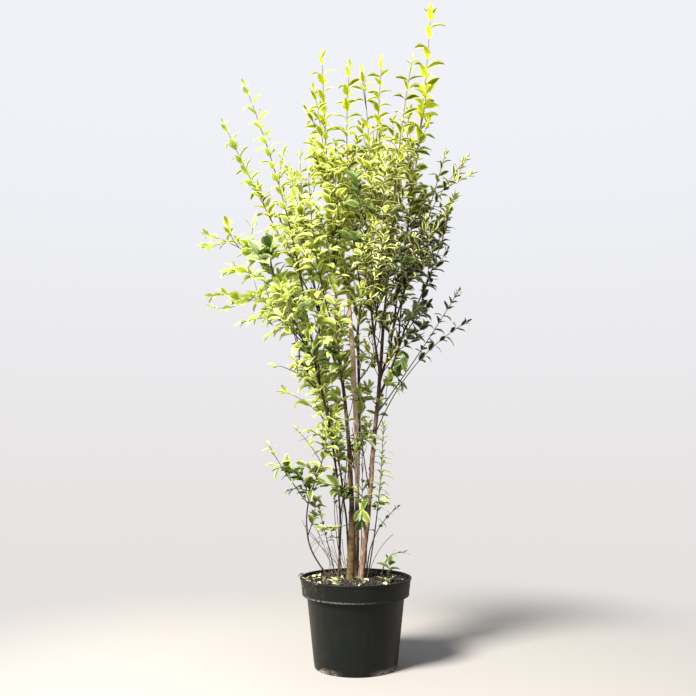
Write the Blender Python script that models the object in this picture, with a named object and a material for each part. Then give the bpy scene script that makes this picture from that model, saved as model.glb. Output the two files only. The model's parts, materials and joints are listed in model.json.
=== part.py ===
"""A variegated privet shrub standing in a round nursery pot.

Metres, +Z up. The origin is the middle of the pot's flat underside, and -Y is the front.
Stems rise from the soil and fork into boughs. Each bough or stem carries leafy shoots, and
each shoot, with its side twigs and leaves, is one solid that keeps to its own space.
"""

import math
import random
from collections import namedtuple

import bmesh
import bpy
from mathutils import Vector
from mathutils.bvhtree import BVHTree

# Pot and soil
RIM_RADIUS = 0.1625
POT_HEIGHT = 0.251
BASE_RADIUS = 0.120
BODY_TOP_RADIUS = 0.142
COLLAR_HEIGHT = 0.050
COLLAR_FOOT_RADIUS = 0.1555
LIP_HEIGHT = 0.006
LIP_REACH = 0.0025
POT_WALL = 0.004
EDGE_BEVEL = 0.0015
POT_SEGMENTS = 32
MERGE = 0.0001
COLLAR_FOOT = POT_HEIGHT - COLLAR_HEIGHT
SOIL_TOP = POT_HEIGHT - 0.015

# Clearances
GAP = 0.0003
SWELL = 0.0002
SEAT_STEP = 0.0001
SEAT_TRIAL = 0.01
ASIDES = (0.0, 0.01, -0.01, 0.02, -0.02, 0.03, -0.03)

# Stems and boughs
FLARE = 1.45
FLARE_HEIGHT = 0.035
FLARE_BEND = 0.3
STEM_SIDES = 8
BOUGH_SIDES = 6
STEM_TOP_RADIUS = 0.0042
BOUGH_RADII = (0.0042, 0.0035)
RING_SPACING = 0.14
CREASE = math.radians(60)

# Shoots and their side twigs
LEADER_RADII = (0.0034, 0.0019)
SIDE_RADII = (0.0026, 0.0018)
SIDE_ROOT = 0.5
TWIG_SIDES = 3
LEADER_SPACING = 0.15
SIDE_SPACING = 0.09
SIDE_ANGLE = math.radians(48)
SIDE_LIFT = 0.30
SIDE_SAG = 0.04
SIDES_START = 0.08
SIDES_END = 0.72
SHORTEST_SIDE = 0.045
SIDE_TAPER = 0.45
SIDE_LENGTHS = (0.75, 1.1)
SIDE_TURN = 0.3
SIDE_SLIP = 0.03
SHORTEN = 0.8

# Leaves
LEAF_LENGTH = 0.080
LEAF_WIDTH = 0.46
LEAF_THICKNESS = 0.032
LEAF_WIDEST = 0.46
LEAF_SINK = 0.0008
LEAF_ANGLE = math.radians(62)
NODE_SPACING = 0.088
PAIR_STAGGER = 0.005
END_LEAF_AT = 0.985
ROOT_NODE = 0.35
END_LEAF_ANGLE = math.radians(20)
YOUNG_SPREAD = 0.7
LEAF_TURN = 0.35
LEAF_TILT = 0.15
LEAF_SIZES = (0.85, 1.08)
SIDE_LEAFY_FROM = 0.1
MIDRIB_TEST = 0.6
YOUNG_LENGTH = 0.16
YOUNG_SIZE = 0.55
TIP_LEAF_REACH = 0.036

# The sun comes from the upper left: a shoot's tip gains sun as it rises above this level, by a
# unit for each rise, and loses a unit for each reach to the right.
SUN_LEVEL = 1.2
SUN_RISE = 0.6
SUN_REACH = 0.35
SUNLIT_FROM = 0.6
SHADED_BELOW = -0.4

Stem = namedtuple("Stem", "name foot middle top radius bark")
Bough = namedtuple("Bough", "name parent at middle top")
Shoot = namedtuple("Shoot", "name parent at tip bow leafy_from side_pairs reach")

SOIL = "soil"

# A stem's foot lies on the soil. It passes through its middle and ends at its top.
STEMS = (
    Stem("main_stem", (-0.012, -0.006), (-0.006, -0.012, 0.56), (-0.050, -0.022, 0.905), 0.0105, "mossy"),
    Stem("cut_back_stem", (0.003, 0.036), (0.006, 0.034, 0.58), (-0.021, 0.032, 1.09), 0.0085, "tan"),
    Stem("rear_stem", (-0.010, 0.072), (0.008, 0.072, 0.55), (0.008, 0.085, 0.98), 0.0062, "dark"),
    Stem("right_stem", (0.025, -0.004), (0.050, -0.018, 0.60), (0.084, -0.022, 1.00), 0.0100, "red"),
    Stem("left_stem", (-0.052, 0.014), (-0.053, -0.008, 0.50), (-0.112, -0.058, 0.83), 0.0062, "dark"),
    Stem("inner_left_stem", (-0.034, 0.052), (-0.045, 0.050, 0.53), (-0.108, 0.062, 0.83), 0.0058, "dark"),
    Stem("left_sucker", (-0.082, -0.004), (-0.138, -0.030, 0.40), (-0.116, -0.050, 0.53), 0.0046, "dark"),
)

# A bough leaves its parent a share of the way up, and at 1.0 it carries on from its tip.
BOUGHS = (
    Bough("left_high_bough", "main_stem", 0.86, (-0.085, 0.000, 0.95), (-0.118, 0.020, 1.05)),
    Bough("left_front_bough", "left_stem", 1.0, (-0.125, -0.066, 0.91), (-0.140, -0.070, 0.99)),
    Bough("left_rear_bough", "inner_left_stem", 1.0, (-0.128, 0.068, 0.88), (-0.150, 0.074, 0.93)),
    Bough("left_low_bough", "inner_left_stem", 0.80, (-0.130, 0.022, 0.83), (-0.170, 0.012, 0.885)),
    Bough("centre_bough", "main_stem", 1.0, (-0.054, -0.034, 0.98), (-0.056, -0.044, 1.05)),
    Bough("rear_bough", "rear_stem", 1.0, (0.018, 0.098, 1.07), (0.032, 0.112, 1.15)),
    Bough("right_inner_bough", "right_stem", 0.80, (0.056, -0.050, 0.94), (0.044, -0.068, 1.06)),
    Bough("right_middle_bough", "right_stem", 1.0, (0.090, -0.034, 1.06), (0.097, -0.044, 1.12)),
    Bough("right_rear_bough", "right_stem", 0.77, (0.105, 0.020, 0.93), (0.125, 0.030, 1.06)),
    Bough("right_outer_bough", "right_stem", 0.70, (0.115, -0.036, 0.88), (0.145, -0.038, 0.97)),
)

# A shoot reaches its tip with its furthest leaves. Its bow is how far it sags or, below zero,
# arches over, as a share of its length. Leaves start a share of the way up, and its pairs of
# side twigs have the reach given.
SHOOTS = (
    Shoot("foliage_top_left", "centre_bough", 1.0, (-0.098, -0.06, 1.84), 0.02, 0.0, 2, 0.20),
    Shoot("foliage_top_left_low", "centre_bough", 0.60, (-0.143, -0.11, 1.65), 0.08, 0.1, 1, 0.17),
    Shoot("foliage_top_middle", "rear_bough", 0.70, (-0.016, 0.06, 1.86), 0.07, 0.1, 1, 0.18),
    Shoot("foliage_top_front", "right_inner_bough", 1.0, (0.023, -0.10, 1.735), 0.03, 0.0, 2, 0.19),
    Shoot("foliage_top_rear", "rear_bough", 1.0, (0.091, 0.15, 1.93), 0.03, 0.0, 2, 0.20),
    Shoot("foliage_top_right", "right_middle_bough", 1.0, (0.175, -0.08, 1.81), 0.03, 0.0, 2, 0.18),
    Shoot("foliage_tallest", "right_rear_bough", 1.0, (0.245, 0.03, 2.03), 0.03, 0.0, 2, 0.18),
    Shoot("foliage_right_rear_tip", "right_rear_bough", 0.70, (0.302, 0.13, 1.595), 0.08, 0.1, 2, 0.17),
    Shoot("foliage_right_front_tip", "right_outer_bough", 0.75, (0.341, -0.10, 1.49), 0.05, 0.1, 2, 0.16),
    Shoot("foliage_right_tip", "right_outer_bough", 1.0, (0.297, -0.03, 1.385), 0.04, 0.0, 1, 0.15),
    Shoot("foliage_left_long", "left_high_bough", 1.0, (-0.424, 0.05, 1.66), 0.02, 0.0, 2, 0.18),
    Shoot("foliage_left_rear_high", "left_high_bough", 0.70, (-0.181, 0.15, 1.595), 0.10, 0.1, 1, 0.17),
    Shoot("foliage_left_high", "left_front_bough", 1.0, (-0.339, -0.10, 1.72), -0.03, 0.0, 2, 0.18),
    Shoot("foliage_left_reaching", "left_front_bough", 0.75, (-0.455, -0.10, 1.25), -0.05, 0.1, 2, 0.15),
    Shoot("foliage_left_front_low", "left_stem", 0.95, (-0.367, -0.18, 1.14), -0.04, 0.1, 1, 0.13),
    Shoot("foliage_left_rear_low", "left_rear_bough", 1.0, (-0.475, 0.10, 1.095), -0.12, 0.0, 2, 0.13),
    Shoot("foliage_left_level", "left_low_bough", 1.0, (-0.36, -0.02, 0.99), -0.05, 0.0, 1, 0.11),
    Shoot("foliage_left_under", "left_low_bough", 0.40, (-0.245, -0.07, 0.865), -0.08, 0.2, 0, 0.09),
    Shoot("foliage_left_under_rear", "inner_left_stem", 0.74, (-0.235, 0.10, 0.80), -0.08, 0.4, 1, 0.09),
    Shoot("foliage_right_arch_front", "right_stem", 0.64, (0.311, -0.07, 1.095), 0.03, 0.5, 1, 0.11),
    Shoot("foliage_right_arch_rear", "right_stem", 0.56, (0.362, 0.08, 1.02), -0.06, 0.55, 1, 0.10),
    Shoot("foliage_front_left", "centre_bough", 0.25, (-0.13, -0.27, 1.38), 0.12, 0.1, 2, 0.17),
    Shoot("foliage_front_left_low", "left_front_bough", 0.30, (-0.19, -0.22, 1.07), 0.10, 0.1, 2, 0.15),
    Shoot("foliage_front_low", "main_stem", 0.82, (-0.03, -0.22, 1.10), 0.12, 0.1, 2, 0.15),
    Shoot("foliage_front_right", "right_inner_bough", 0.50, (0.075, -0.27, 1.42), 0.12, 0.1, 2, 0.17),
    Shoot("foliage_front_side", "right_middle_bough", 0.30, (0.20, -0.20, 1.28), 0.12, 0.1, 1, 0.15),
    Shoot("foliage_back_left", "left_rear_bough", 0.50, (-0.20, 0.27, 1.33), 0.12, 0.1, 2, 0.17),
    Shoot("foliage_back_middle", "rear_bough", 0.30, (-0.05, 0.29, 1.50), 0.12, 0.1, 2, 0.18),
    Shoot("foliage_back_right", "rear_bough", 0.50, (0.14, 0.29, 1.44), 0.12, 0.1, 2, 0.18),
    Shoot("foliage_back_side", "right_rear_bough", 0.40, (0.25, 0.21, 1.26), 0.12, 0.1, 1, 0.15),
    Shoot("foliage_back_low_left", "inner_left_stem", 0.90, (-0.14, 0.22, 1.02), 0.12, 0.1, 1, 0.13),
    Shoot("foliage_back_low_right", "rear_stem", 0.80, (0.09, 0.23, 1.06), 0.12, 0.1, 1, 0.14),
    Shoot("foliage_among_stems_left", "left_stem", 0.30, (-0.02, -0.06, 0.71), 0.04, 0.35, 1, 0.11),
    Shoot("foliage_among_stems_middle", "right_stem", 0.34, (0.012, -0.055, 0.78), 0.04, 0.40, 0, 0.09),
    Shoot("shoot_right", SOIL, (0.040, -0.036), (0.082, -0.058, 0.72), 0.02, 0.3, 0, 0.0),
    Shoot("shoot_right_bare", SOIL, (0.052, 0.036), (0.14, 0.05, 0.455), 0.06, 0.6, 1, 0.08),
    Shoot("sprout_right", SOIL, (0.080, -0.012), (0.15, -0.05, 0.33), -0.12, 0.2, 1, 0.06),
    Shoot("shoot_left_tip", "left_sucker", 1.0, (-0.085, -0.07, 0.70), 0.06, 0.0, 1, 0.13),
    Shoot("shoot_left_side", "left_sucker", 0.50, (-0.255, -0.08, 0.64), 0.06, 0.4, 1, 0.10),
    Shoot("shoot_left_rear", SOIL, (-0.070, 0.040), (-0.118, 0.04, 0.47), 0.04, 0.6, 0, 0.0),
    Shoot("dry_twigs_left", SOIL, (-0.040, -0.036), (-0.165, -0.045, 0.42), -0.04, 1.0, 1, 0.10),
)

BARK_COLOURS = {
    "mossy": (0.20, 0.15, 0.08),
    "tan": (0.42, 0.30, 0.20),
    "red": (0.28, 0.15, 0.10),
    "dark": (0.12, 0.08, 0.06),
}
SUNLIT_LEAF = (0.48, 0.60, 0.06)
MIDDLE_LEAF = (0.22, 0.30, 0.06)
SHADED_LEAF = (0.08, 0.14, 0.03)
DRY_BARK = (0.30, 0.24, 0.18)


def clear_scene():
    for thing in list(bpy.data.objects):
        bpy.data.objects.remove(thing)


def material(name, colour, roughness):
    surface = bpy.data.materials.new(name)
    surface.use_nodes = True
    shader = surface.node_tree.nodes["Principled BSDF"]
    shader.inputs["Base Color"].default_value = (*colour, 1.0)
    shader.inputs["Roughness"].default_value = roughness
    shader.inputs["Metallic"].default_value = 0.0
    return surface


def leaf_colour(shoot):
    """Lime in the sun at the top and left, dark in the shade at the lower right."""
    if shoot.leafy_from == 1.0:
        return DRY_BARK
    sun = (shoot.tip[2] - SUN_LEVEL) / SUN_RISE - shoot.tip[0] / SUN_REACH
    if sun > SUNLIT_FROM:
        return SUNLIT_LEAF
    return SHADED_LEAF if sun < SHADED_BELOW else MIDDLE_LEAF


def mesh_of(name, bm):
    mesh = bpy.data.meshes.new(name)
    bm.to_mesh(mesh)
    bm.free()
    return mesh


def new_object(name, bm, surface):
    thing = bpy.data.objects.new(name, mesh_of(name, bm))
    thing.data.materials.append(surface)
    bpy.context.scene.collection.objects.link(thing)
    return thing


def turned(name, profile, surface):
    """A solid of revolution. Its profile runs from the axis, down its outer side, to the axis."""
    bm = bmesh.new()
    points = [bm.verts.new((radius, 0.0, height)) for radius, height in profile]
    for start, end in zip(points, points[1:]):
        bm.edges.new((start, end))
    thing = new_object(name, bm, surface)
    screw = thing.modifiers.new("Turn", "SCREW")
    screw.angle = math.tau
    screw.steps = POT_SEGMENTS
    screw.render_steps = POT_SEGMENTS
    screw.use_merge_vertices = True
    screw.merge_threshold = MERGE
    screw.use_smooth_shade = True


def make_pot():
    """A tapered plastic pot with a deep hollow collar and a thicker lip."""
    lip_foot = POT_HEIGHT - LIP_HEIGHT
    lip_inner = RIM_RADIUS - LIP_REACH - POT_WALL
    profile = (
        (0.0, POT_WALL),
        (BASE_RADIUS - POT_WALL, POT_WALL),
        (BODY_TOP_RADIUS - POT_WALL, COLLAR_FOOT),
        (COLLAR_FOOT_RADIUS - POT_WALL, COLLAR_FOOT + POT_WALL),
        (lip_inner, POT_HEIGHT - EDGE_BEVEL),
        (lip_inner + EDGE_BEVEL, POT_HEIGHT),
        (RIM_RADIUS - EDGE_BEVEL, POT_HEIGHT),
        (RIM_RADIUS, POT_HEIGHT - EDGE_BEVEL),
        (RIM_RADIUS, lip_foot),
        (RIM_RADIUS - LIP_REACH, lip_foot - EDGE_BEVEL),
        (COLLAR_FOOT_RADIUS, COLLAR_FOOT),
        (BODY_TOP_RADIUS, COLLAR_FOOT - POT_WALL / 2),
        (BASE_RADIUS, EDGE_BEVEL),
        (BASE_RADIUS - EDGE_BEVEL, 0.0),
        (0.0, 0.0),
    )
    turned("pot", profile, material("pot plastic", (0.015, 0.016, 0.015), 0.55))


def make_soil():
    """The potting soil fills the pot to just under the lip, clear of the wall all round."""
    collar_inner = COLLAR_FOOT_RADIUS - POT_WALL - 2 * GAP
    profile = (
        (0.0, SOIL_TOP),
        (collar_inner, SOIL_TOP),
        (collar_inner, COLLAR_FOOT + POT_WALL + 3 * GAP),
        (BODY_TOP_RADIUS - POT_WALL - 2 * GAP, COLLAR_FOOT + GAP),
        (BASE_RADIUS - POT_WALL - 2 * GAP, POT_WALL + GAP),
        (0.0, POT_WALL + GAP),
    )
    turned(SOIL, profile, material("potting soil", (0.035, 0.025, 0.018), 0.95))


def through(foot, middle, top, spacing):
    """Points about one spacing apart on the parabola through three points."""
    first = (middle - foot).length
    second = (top - middle).length
    bend = first / (first + second)
    count = max(4, round((first + second) / spacing) + 1)
    path = []
    for i in range(count):
        t = i / (count - 1)
        at_foot = (t - bend) * (t - 1) / bend
        at_middle = t * (t - 1) / (bend * (bend - 1))
        at_top = t * (t - bend) / (1 - bend)
        path.append(foot * at_foot + middle * at_middle + top * at_top)
    return path


def bow_control(foot, tip, bow, aside=0.0):
    """The middle control point of a shoot that sags, or arches over, in the upright plane it leans in."""
    along = tip - foot
    sag = Vector((0, 0, -1)) + along * (along.z / along.length_squared)
    sideways = along.cross(sag).normalized()
    return (foot + tip) / 2 + sag.normalized() * (2 * bow * along.length) + sideways * (2 * aside)


def bowed(foot, control, tip, spacing):
    """Points about one spacing apart on the curve from foot to tip that its control point pulls."""
    count = max(3, round((tip - foot).length / spacing) + 1)
    shares = [i / (count - 1) for i in range(count)]
    return [foot * (1 - t) ** 2 + control * (2 * t * (1 - t)) + tip * t**2 for t in shares]


def tapered(path, radii):
    """Radii that fall evenly from the first to the last point of a path."""
    last = len(path) - 1
    return [radii[0] + (radii[1] - radii[0]) * i / last for i in range(last + 1)]


def tangents(path):
    before = [path[0]] + path[:-1]
    after = path[1:] + [path[-1]]
    return [(b - a).normalized() for a, b in zip(before, after)]


def tube(path, radii, sides, pointed=False, first_direction=None):
    """A tapering tube along a path, with flat ends, or with a point at its far end."""
    directions = tangents(path)
    if first_direction is not None:
        directions[0] = first_direction
    across = directions[0].orthogonal()
    bm = bmesh.new()
    rings = []
    for centre, direction, radius in zip(path, directions, radii):
        across = (across - direction * across.dot(direction)).normalized()
        other = direction.cross(across)
        turns = [math.tau * k / sides for k in range(sides)]
        ring = [centre + (across * math.cos(a) + other * math.sin(a)) * radius for a in turns]
        rings.append([bm.verts.new(point) for point in ring])
    if pointed:
        bmesh.ops.delete(bm, geom=rings.pop(), context="VERTS")
    for low, high in zip(rings, rings[1:]):
        for k in range(sides):
            n = (k + 1) % sides
            bm.faces.new((low[k], low[n], high[n]))
            bm.faces.new((low[k], high[n], high[k]))
    bm.faces.new(rings[0][::-1])
    if pointed:
        point = bm.verts.new(path[-1])
        for k in range(sides):
            bm.faces.new((rings[-1][k], rings[-1][(k + 1) % sides], point))
    else:
        bm.faces.new(rings[-1])
    return bm


def leaf(root, axis, up, length, swell=0.0):
    """A pointed blade of six faces: flat above from root to tip, with a keel along its middle below."""
    half = up.cross(axis) * (length * LEAF_WIDTH / 2 + swell)
    widest = root + axis * (length * LEAF_WIDEST) + up * swell
    end = root + axis * (length + swell)
    keel = widest - up * (length * LEAF_THICKNESS + 2 * swell)
    bm = bmesh.new()
    corners = (root, widest + half, widest - half, end, keel)
    base, left, right, tip, low = [bm.verts.new(corner) for corner in corners]
    bm.faces.new((base, right, left))
    bm.faces.new((tip, left, right))
    bm.faces.new((base, left, low))
    bm.faces.new((left, tip, low))
    bm.faces.new((tip, right, low))
    bm.faces.new((right, base, low))
    return bm


def box_of(bm):
    points = [vertex.co for vertex in bm.verts]
    low = [min(point[i] for point in points) for i in range(3)]
    high = [max(point[i] for point in points) for i in range(3)]
    return low, high


class Room:
    """Every piece placed so far, each under its label, to test a new piece against."""

    def __init__(self):
        self.pieces = []

    def add(self, label, bm):
        self.pieces.append((label, *box_of(bm), BVHTree.FromBMesh(bm)))

    def is_clear(self, bm, ignored=()):
        """True where the piece touches nothing. It frees the piece, which was only a trial."""
        low, high = box_of(bm)
        tree = BVHTree.FromBMesh(bm)
        bm.free()
        for label, other_low, other_high, other in self.pieces:
            if label in ignored:
                continue
            if any(low[i] > other_high[i] or high[i] < other_low[i] for i in range(3)):
                continue
            if tree.overlap(other):
                return False
        return True


def point_on(path, share):
    """The point and direction a given share of the way along a path."""
    if share >= 1.0:
        return path[-1], (path[-1] - path[-2]).normalized()
    steps = share * (len(path) - 1)
    index = int(steps)
    start = path[index]
    end = path[index + 1]
    return start.lerp(end, steps - index), (end - start).normalized()


def seat_on(path, share, towards, radius, sides, room):
    """Where a limb starts: just past its parent's tip, or just clear of its parent's side."""
    point, direction = point_on(path, share)
    if share >= 1.0:
        return point + direction * GAP, direction
    start = point
    while not room.is_clear(tube([start, start + towards * SEAT_TRIAL], [radius + GAP] * 2, sides)):
        start = start + towards * SEAT_STEP
    return start, towards


def place_limb(name, bm, bark, room):
    room.add(name, bm)
    thing = new_object(name, bm, material(f"bark {name}", BARK_COLOURS[bark], 0.85))
    thing.data.shade_smooth()
    thing.data.set_sharp_from_angle(angle=CREASE)


def make_stem(stem, room, paths):
    """A tapering stem with its root flare, from a flat cut on the soil."""
    foot = Vector((*stem.foot, SOIL_TOP + GAP))
    path = through(foot, Vector(stem.middle), Vector(stem.top), RING_SPACING)
    radii = tapered(path, (stem.radius, STEM_TOP_RADIUS))
    paths[stem.name] = path
    rise = (path[1] - foot) * (FLARE_HEIGHT / (path[1] - foot).z)
    flare_points = [foot, foot + rise * FLARE_BEND, foot + rise]
    flare_radii = [radii[0] * FLARE, radii[0] * (1 + FLARE) / 2, radii[0]]
    upright = Vector((0, 0, 1))
    body = tube(flare_points + path[1:], flare_radii + radii[1:], STEM_SIDES, first_direction=upright)
    place_limb(stem.name, body, stem.bark, room)


def make_bough(bough, room, paths, barks):
    """A tapering bough, seated on its parent and in its parent's bark."""
    middle = Vector(bough.middle)
    parent = paths[bough.parent]
    towards = (middle - point_on(parent, bough.at)[0]).normalized()
    start, direction = seat_on(parent, bough.at, towards, BOUGH_RADII[0], BOUGH_SIDES, room)
    path = through(start, middle, Vector(bough.top), RING_SPACING / 2)
    paths[bough.name] = path
    barks[bough.name] = barks[bough.parent]
    body = tube(path, tapered(path, BOUGH_RADII), BOUGH_SIDES, first_direction=direction)
    place_limb(bough.name, body, barks[bough.name], room)


def leader_path(shoot, room, paths):
    """The path and first direction of a shoot's own stem. It bends aside where something is in its way."""
    tip = Vector(shoot.tip)
    for aside in ASIDES:
        if shoot.parent == SOIL:
            start = Vector((*shoot.at, SOIL_TOP + GAP))
            direction = Vector((0, 0, 1))
        else:
            point = point_on(paths[shoot.parent], shoot.at)[0]
            towards = (bow_control(point, tip, shoot.bow, aside) - point).normalized()
            parent = paths[shoot.parent]
            start, direction = seat_on(parent, shoot.at, towards, LEADER_RADII[0], TWIG_SIDES, room)
        control = bow_control(start, tip, shoot.bow, aside)
        end = tip - (tip - control).normalized() * TIP_LEAF_REACH
        path = bowed(start, control, end, LEADER_SPACING)
        radii = [radius + SWELL for radius in tapered(path, LEADER_RADII)]
        trial = tube(path, radii, TWIG_SIDES, first_direction=direction)
        for vertex in trial.verts:
            vertex.co.z = max(vertex.co.z, SOIL_TOP + GAP / 2)
        if room.is_clear(trial):
            return path, direction
    raise ValueError(f"{shoot.name} has no way clear")


def nearest_leader(point, leaders):
    """The name of the shoot whose stem passes closest to a point."""
    best = None
    least = math.inf
    for name, path in leaders.items():
        for start, end in zip(path, path[1:]):
            along = end - start
            share = min(1.0, max(0.0, (point - start).dot(along) / along.length_squared))
            distance = (start + along * share - point).length
            if distance < least:
                best = name
                least = distance
    return best


def around(direction, angle):
    """A unit vector square to a direction, turned about it by an angle."""
    across = direction.orthogonal().normalized()
    return across * math.cos(angle) + direction.cross(across) * math.sin(angle)


def side_twig(shoot, root, aim, length, room, leaders):
    """The longest twig, turning up to the light, that keeps to its shoot's space and touches nothing."""
    while length >= SHORTEST_SIDE:
        end = root + aim * (length * (1 - SIDE_LIFT / 2)) + Vector((0, 0, length * SIDE_LIFT))
        path = bowed(root, bow_control(root, end, SIDE_SAG), end, SIDE_SPACING)
        radii = tapered(path, SIDE_RADII)
        radii[0] *= SIDE_ROOT
        swollen = tube(path, [radius + SWELL for radius in radii], TWIG_SIDES)
        own = {label for label, *_ in room.pieces if label.startswith(f"{shoot.name} ")}
        if nearest_leader(end, leaders) == shoot.name and room.is_clear(swollen, own):
            return path, tube(path, radii, TWIG_SIDES, pointed=True)
        length *= SHORTEN
    return None


def side_twigs(shoot, leader, chance, room, leaders):
    """Side twigs in opposite pairs along the leader's lower part, each pair a quarter turn on."""
    twigs = []
    first = max(shoot.leafy_from, SIDES_START)
    turn = chance.uniform(0, math.tau)
    for pair in range(shoot.side_pairs):
        share = first + (SIDES_END - first) * (pair + 0.5) / shoot.side_pairs
        turn += math.pi / 2
        for half in (0, math.pi):
            root, direction = point_on(leader, share + chance.uniform(-SIDE_SLIP, SIDE_SLIP))
            out = around(direction, turn + half + chance.uniform(-SIDE_TURN, SIDE_TURN))
            aim = direction * math.cos(SIDE_ANGLE) + out * math.sin(SIDE_ANGLE)
            length = shoot.reach * (1.0 - SIDE_TAPER * share) * chance.uniform(*SIDE_LENGTHS)
            twig = side_twig(shoot, root, aim, length, room, leaders)
            if twig is not None:
                twigs.append(twig)
    return twigs


def leaf_places(path, leafy_from, chance):
    """Root, axis, upper side and length of each leaf: one at the end, then pairs a quarter turn apart."""
    length = sum((b - a).length for a, b in zip(path, path[1:]))
    count = max(1, round(length * (1 - leafy_from) / NODE_SPACING))
    turn = chance.uniform(0, math.tau)
    places = []
    for node in range(count + 1):
        share = 1.0 - (1 - leafy_from) * node / (count + ROOT_NODE)
        age = min(1.0, (1.0 - share) * length / YOUNG_LENGTH)
        turn += math.pi / 2
        for half in (0, 1) if node else (0,):
            point, direction = point_on(path, min(share, END_LEAF_AT) - half * PAIR_STAGGER / length)
            out = around(direction, turn + half * math.pi + chance.uniform(-LEAF_TURN, LEAF_TURN))
            spread = LEAF_ANGLE * (YOUNG_SPREAD + (1 - YOUNG_SPREAD) * age) if node else END_LEAF_ANGLE
            spread += chance.uniform(-LEAF_TILT, LEAF_TILT)
            axis = (direction * math.cos(spread) + out * math.sin(spread)).normalized()
            up = (direction - axis * axis.dot(direction)).normalized()
            size = (YOUNG_SIZE + (1 - YOUNG_SIZE) * age) * chance.uniform(*LEAF_SIZES)
            places.append((point - axis * LEAF_SINK, axis, up, LEAF_LENGTH * size))
    return places


def leaves_on(label, path, leafy_from, shoot, chance, room, leaders):
    """The leaves of one twig that keep to their shoot's space and touch nothing but their twig."""
    kept = []
    for root, axis, up, length in leaf_places(path, leafy_from, chance):
        if nearest_leader(root + axis * (length * MIDRIB_TEST), leaders) != shoot.name:
            continue
        if room.is_clear(leaf(root - axis * SWELL, axis, up, length, SWELL), (label,)):
            blade = leaf(root, axis, up, length)
            room.add(f"{shoot.name} leaf", blade)
            kept.append(blade)
    return kept


def joined(name, base, others, surface):
    """One solid of a shoot's stem with its twigs and leaves."""
    thing = new_object(name, base, surface)
    group = bpy.data.collections.new(f"{name} pieces")
    bpy.context.scene.collection.children.link(group)
    for bm in others:
        group.objects.link(bpy.data.objects.new(f"{name} piece", mesh_of(f"{name} piece", bm)))
    union = thing.modifiers.new("Join", "BOOLEAN")
    union.operation = "UNION"
    union.operand_type = "COLLECTION"
    union.collection = group
    union.solver = "EXACT"
    graph = bpy.context.evaluated_depsgraph_get()
    whole = bpy.data.meshes.new_from_object(thing.evaluated_get(graph))
    thing.modifiers.clear()
    thing.data = whole
    for piece in list(group.objects):
        bpy.data.objects.remove(piece)
    bpy.data.collections.remove(group)


def make_shoots(room, paths):
    """All the shoots: first every leader, then every side twig, then the leaves."""
    leaders = {}
    bodies = {}
    for shoot in SHOOTS:
        path, direction = leader_path(shoot, room, paths)
        leaders[shoot.name] = path
        radii = tapered(path, LEADER_RADII)
        bodies[shoot.name] = tube(path, radii, TWIG_SIDES, pointed=True, first_direction=direction)
        room.add(f"{shoot.name} leader", bodies[shoot.name])
    twigs = {}
    for seed, shoot in enumerate(SHOOTS):
        chance = random.Random(seed)
        twigs[shoot.name] = side_twigs(shoot, leaders[shoot.name], chance, room, leaders)
        for number, (path, body) in enumerate(twigs[shoot.name]):
            room.add(f"{shoot.name} side {number}", body)
    for seed, shoot in enumerate(SHOOTS):
        chance = random.Random(len(SHOOTS) + seed)
        pieces = [body for path, body in twigs[shoot.name]]
        if shoot.leafy_from < 1.0:
            leafy = [("leader", leaders[shoot.name], shoot.leafy_from)]
            for number, (path, body) in enumerate(twigs[shoot.name]):
                leafy.append((f"side {number}", path, SIDE_LEAFY_FROM))
            for label, path, leafy_from in leafy:
                pieces += leaves_on(f"{shoot.name} {label}", path, leafy_from, shoot, chance, room, leaders)
        surface = material(f"leaf {shoot.name}", leaf_colour(shoot), 0.5)
        joined(shoot.name, bodies[shoot.name], pieces, surface)


def main():
    clear_scene()
    make_pot()
    make_soil()
    room = Room()
    paths = {}
    barks = {stem.name: stem.bark for stem in STEMS}
    for stem in STEMS:
        make_stem(stem, room, paths)
    for bough in BOUGHS:
        make_bough(bough, room, paths, barks)
    make_shoots(room, paths)


main()
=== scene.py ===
# %% [markdown]
# # A variegated privet in its nursery pot
# The real plant is a young hedging shrub: bare stems rise from a black pot of soil and open into
# a loose crown of long shoots, with small yellow-edged leaves in opposite pairs. This lesson
# dresses a fixed frame of plain solids. It grows the crown again with finer twigs and life-size
# leaves, all worked out as arrays, so that one rule shapes thousands of leaves.

# %% The frame
import json
import math
from collections import namedtuple

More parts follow.
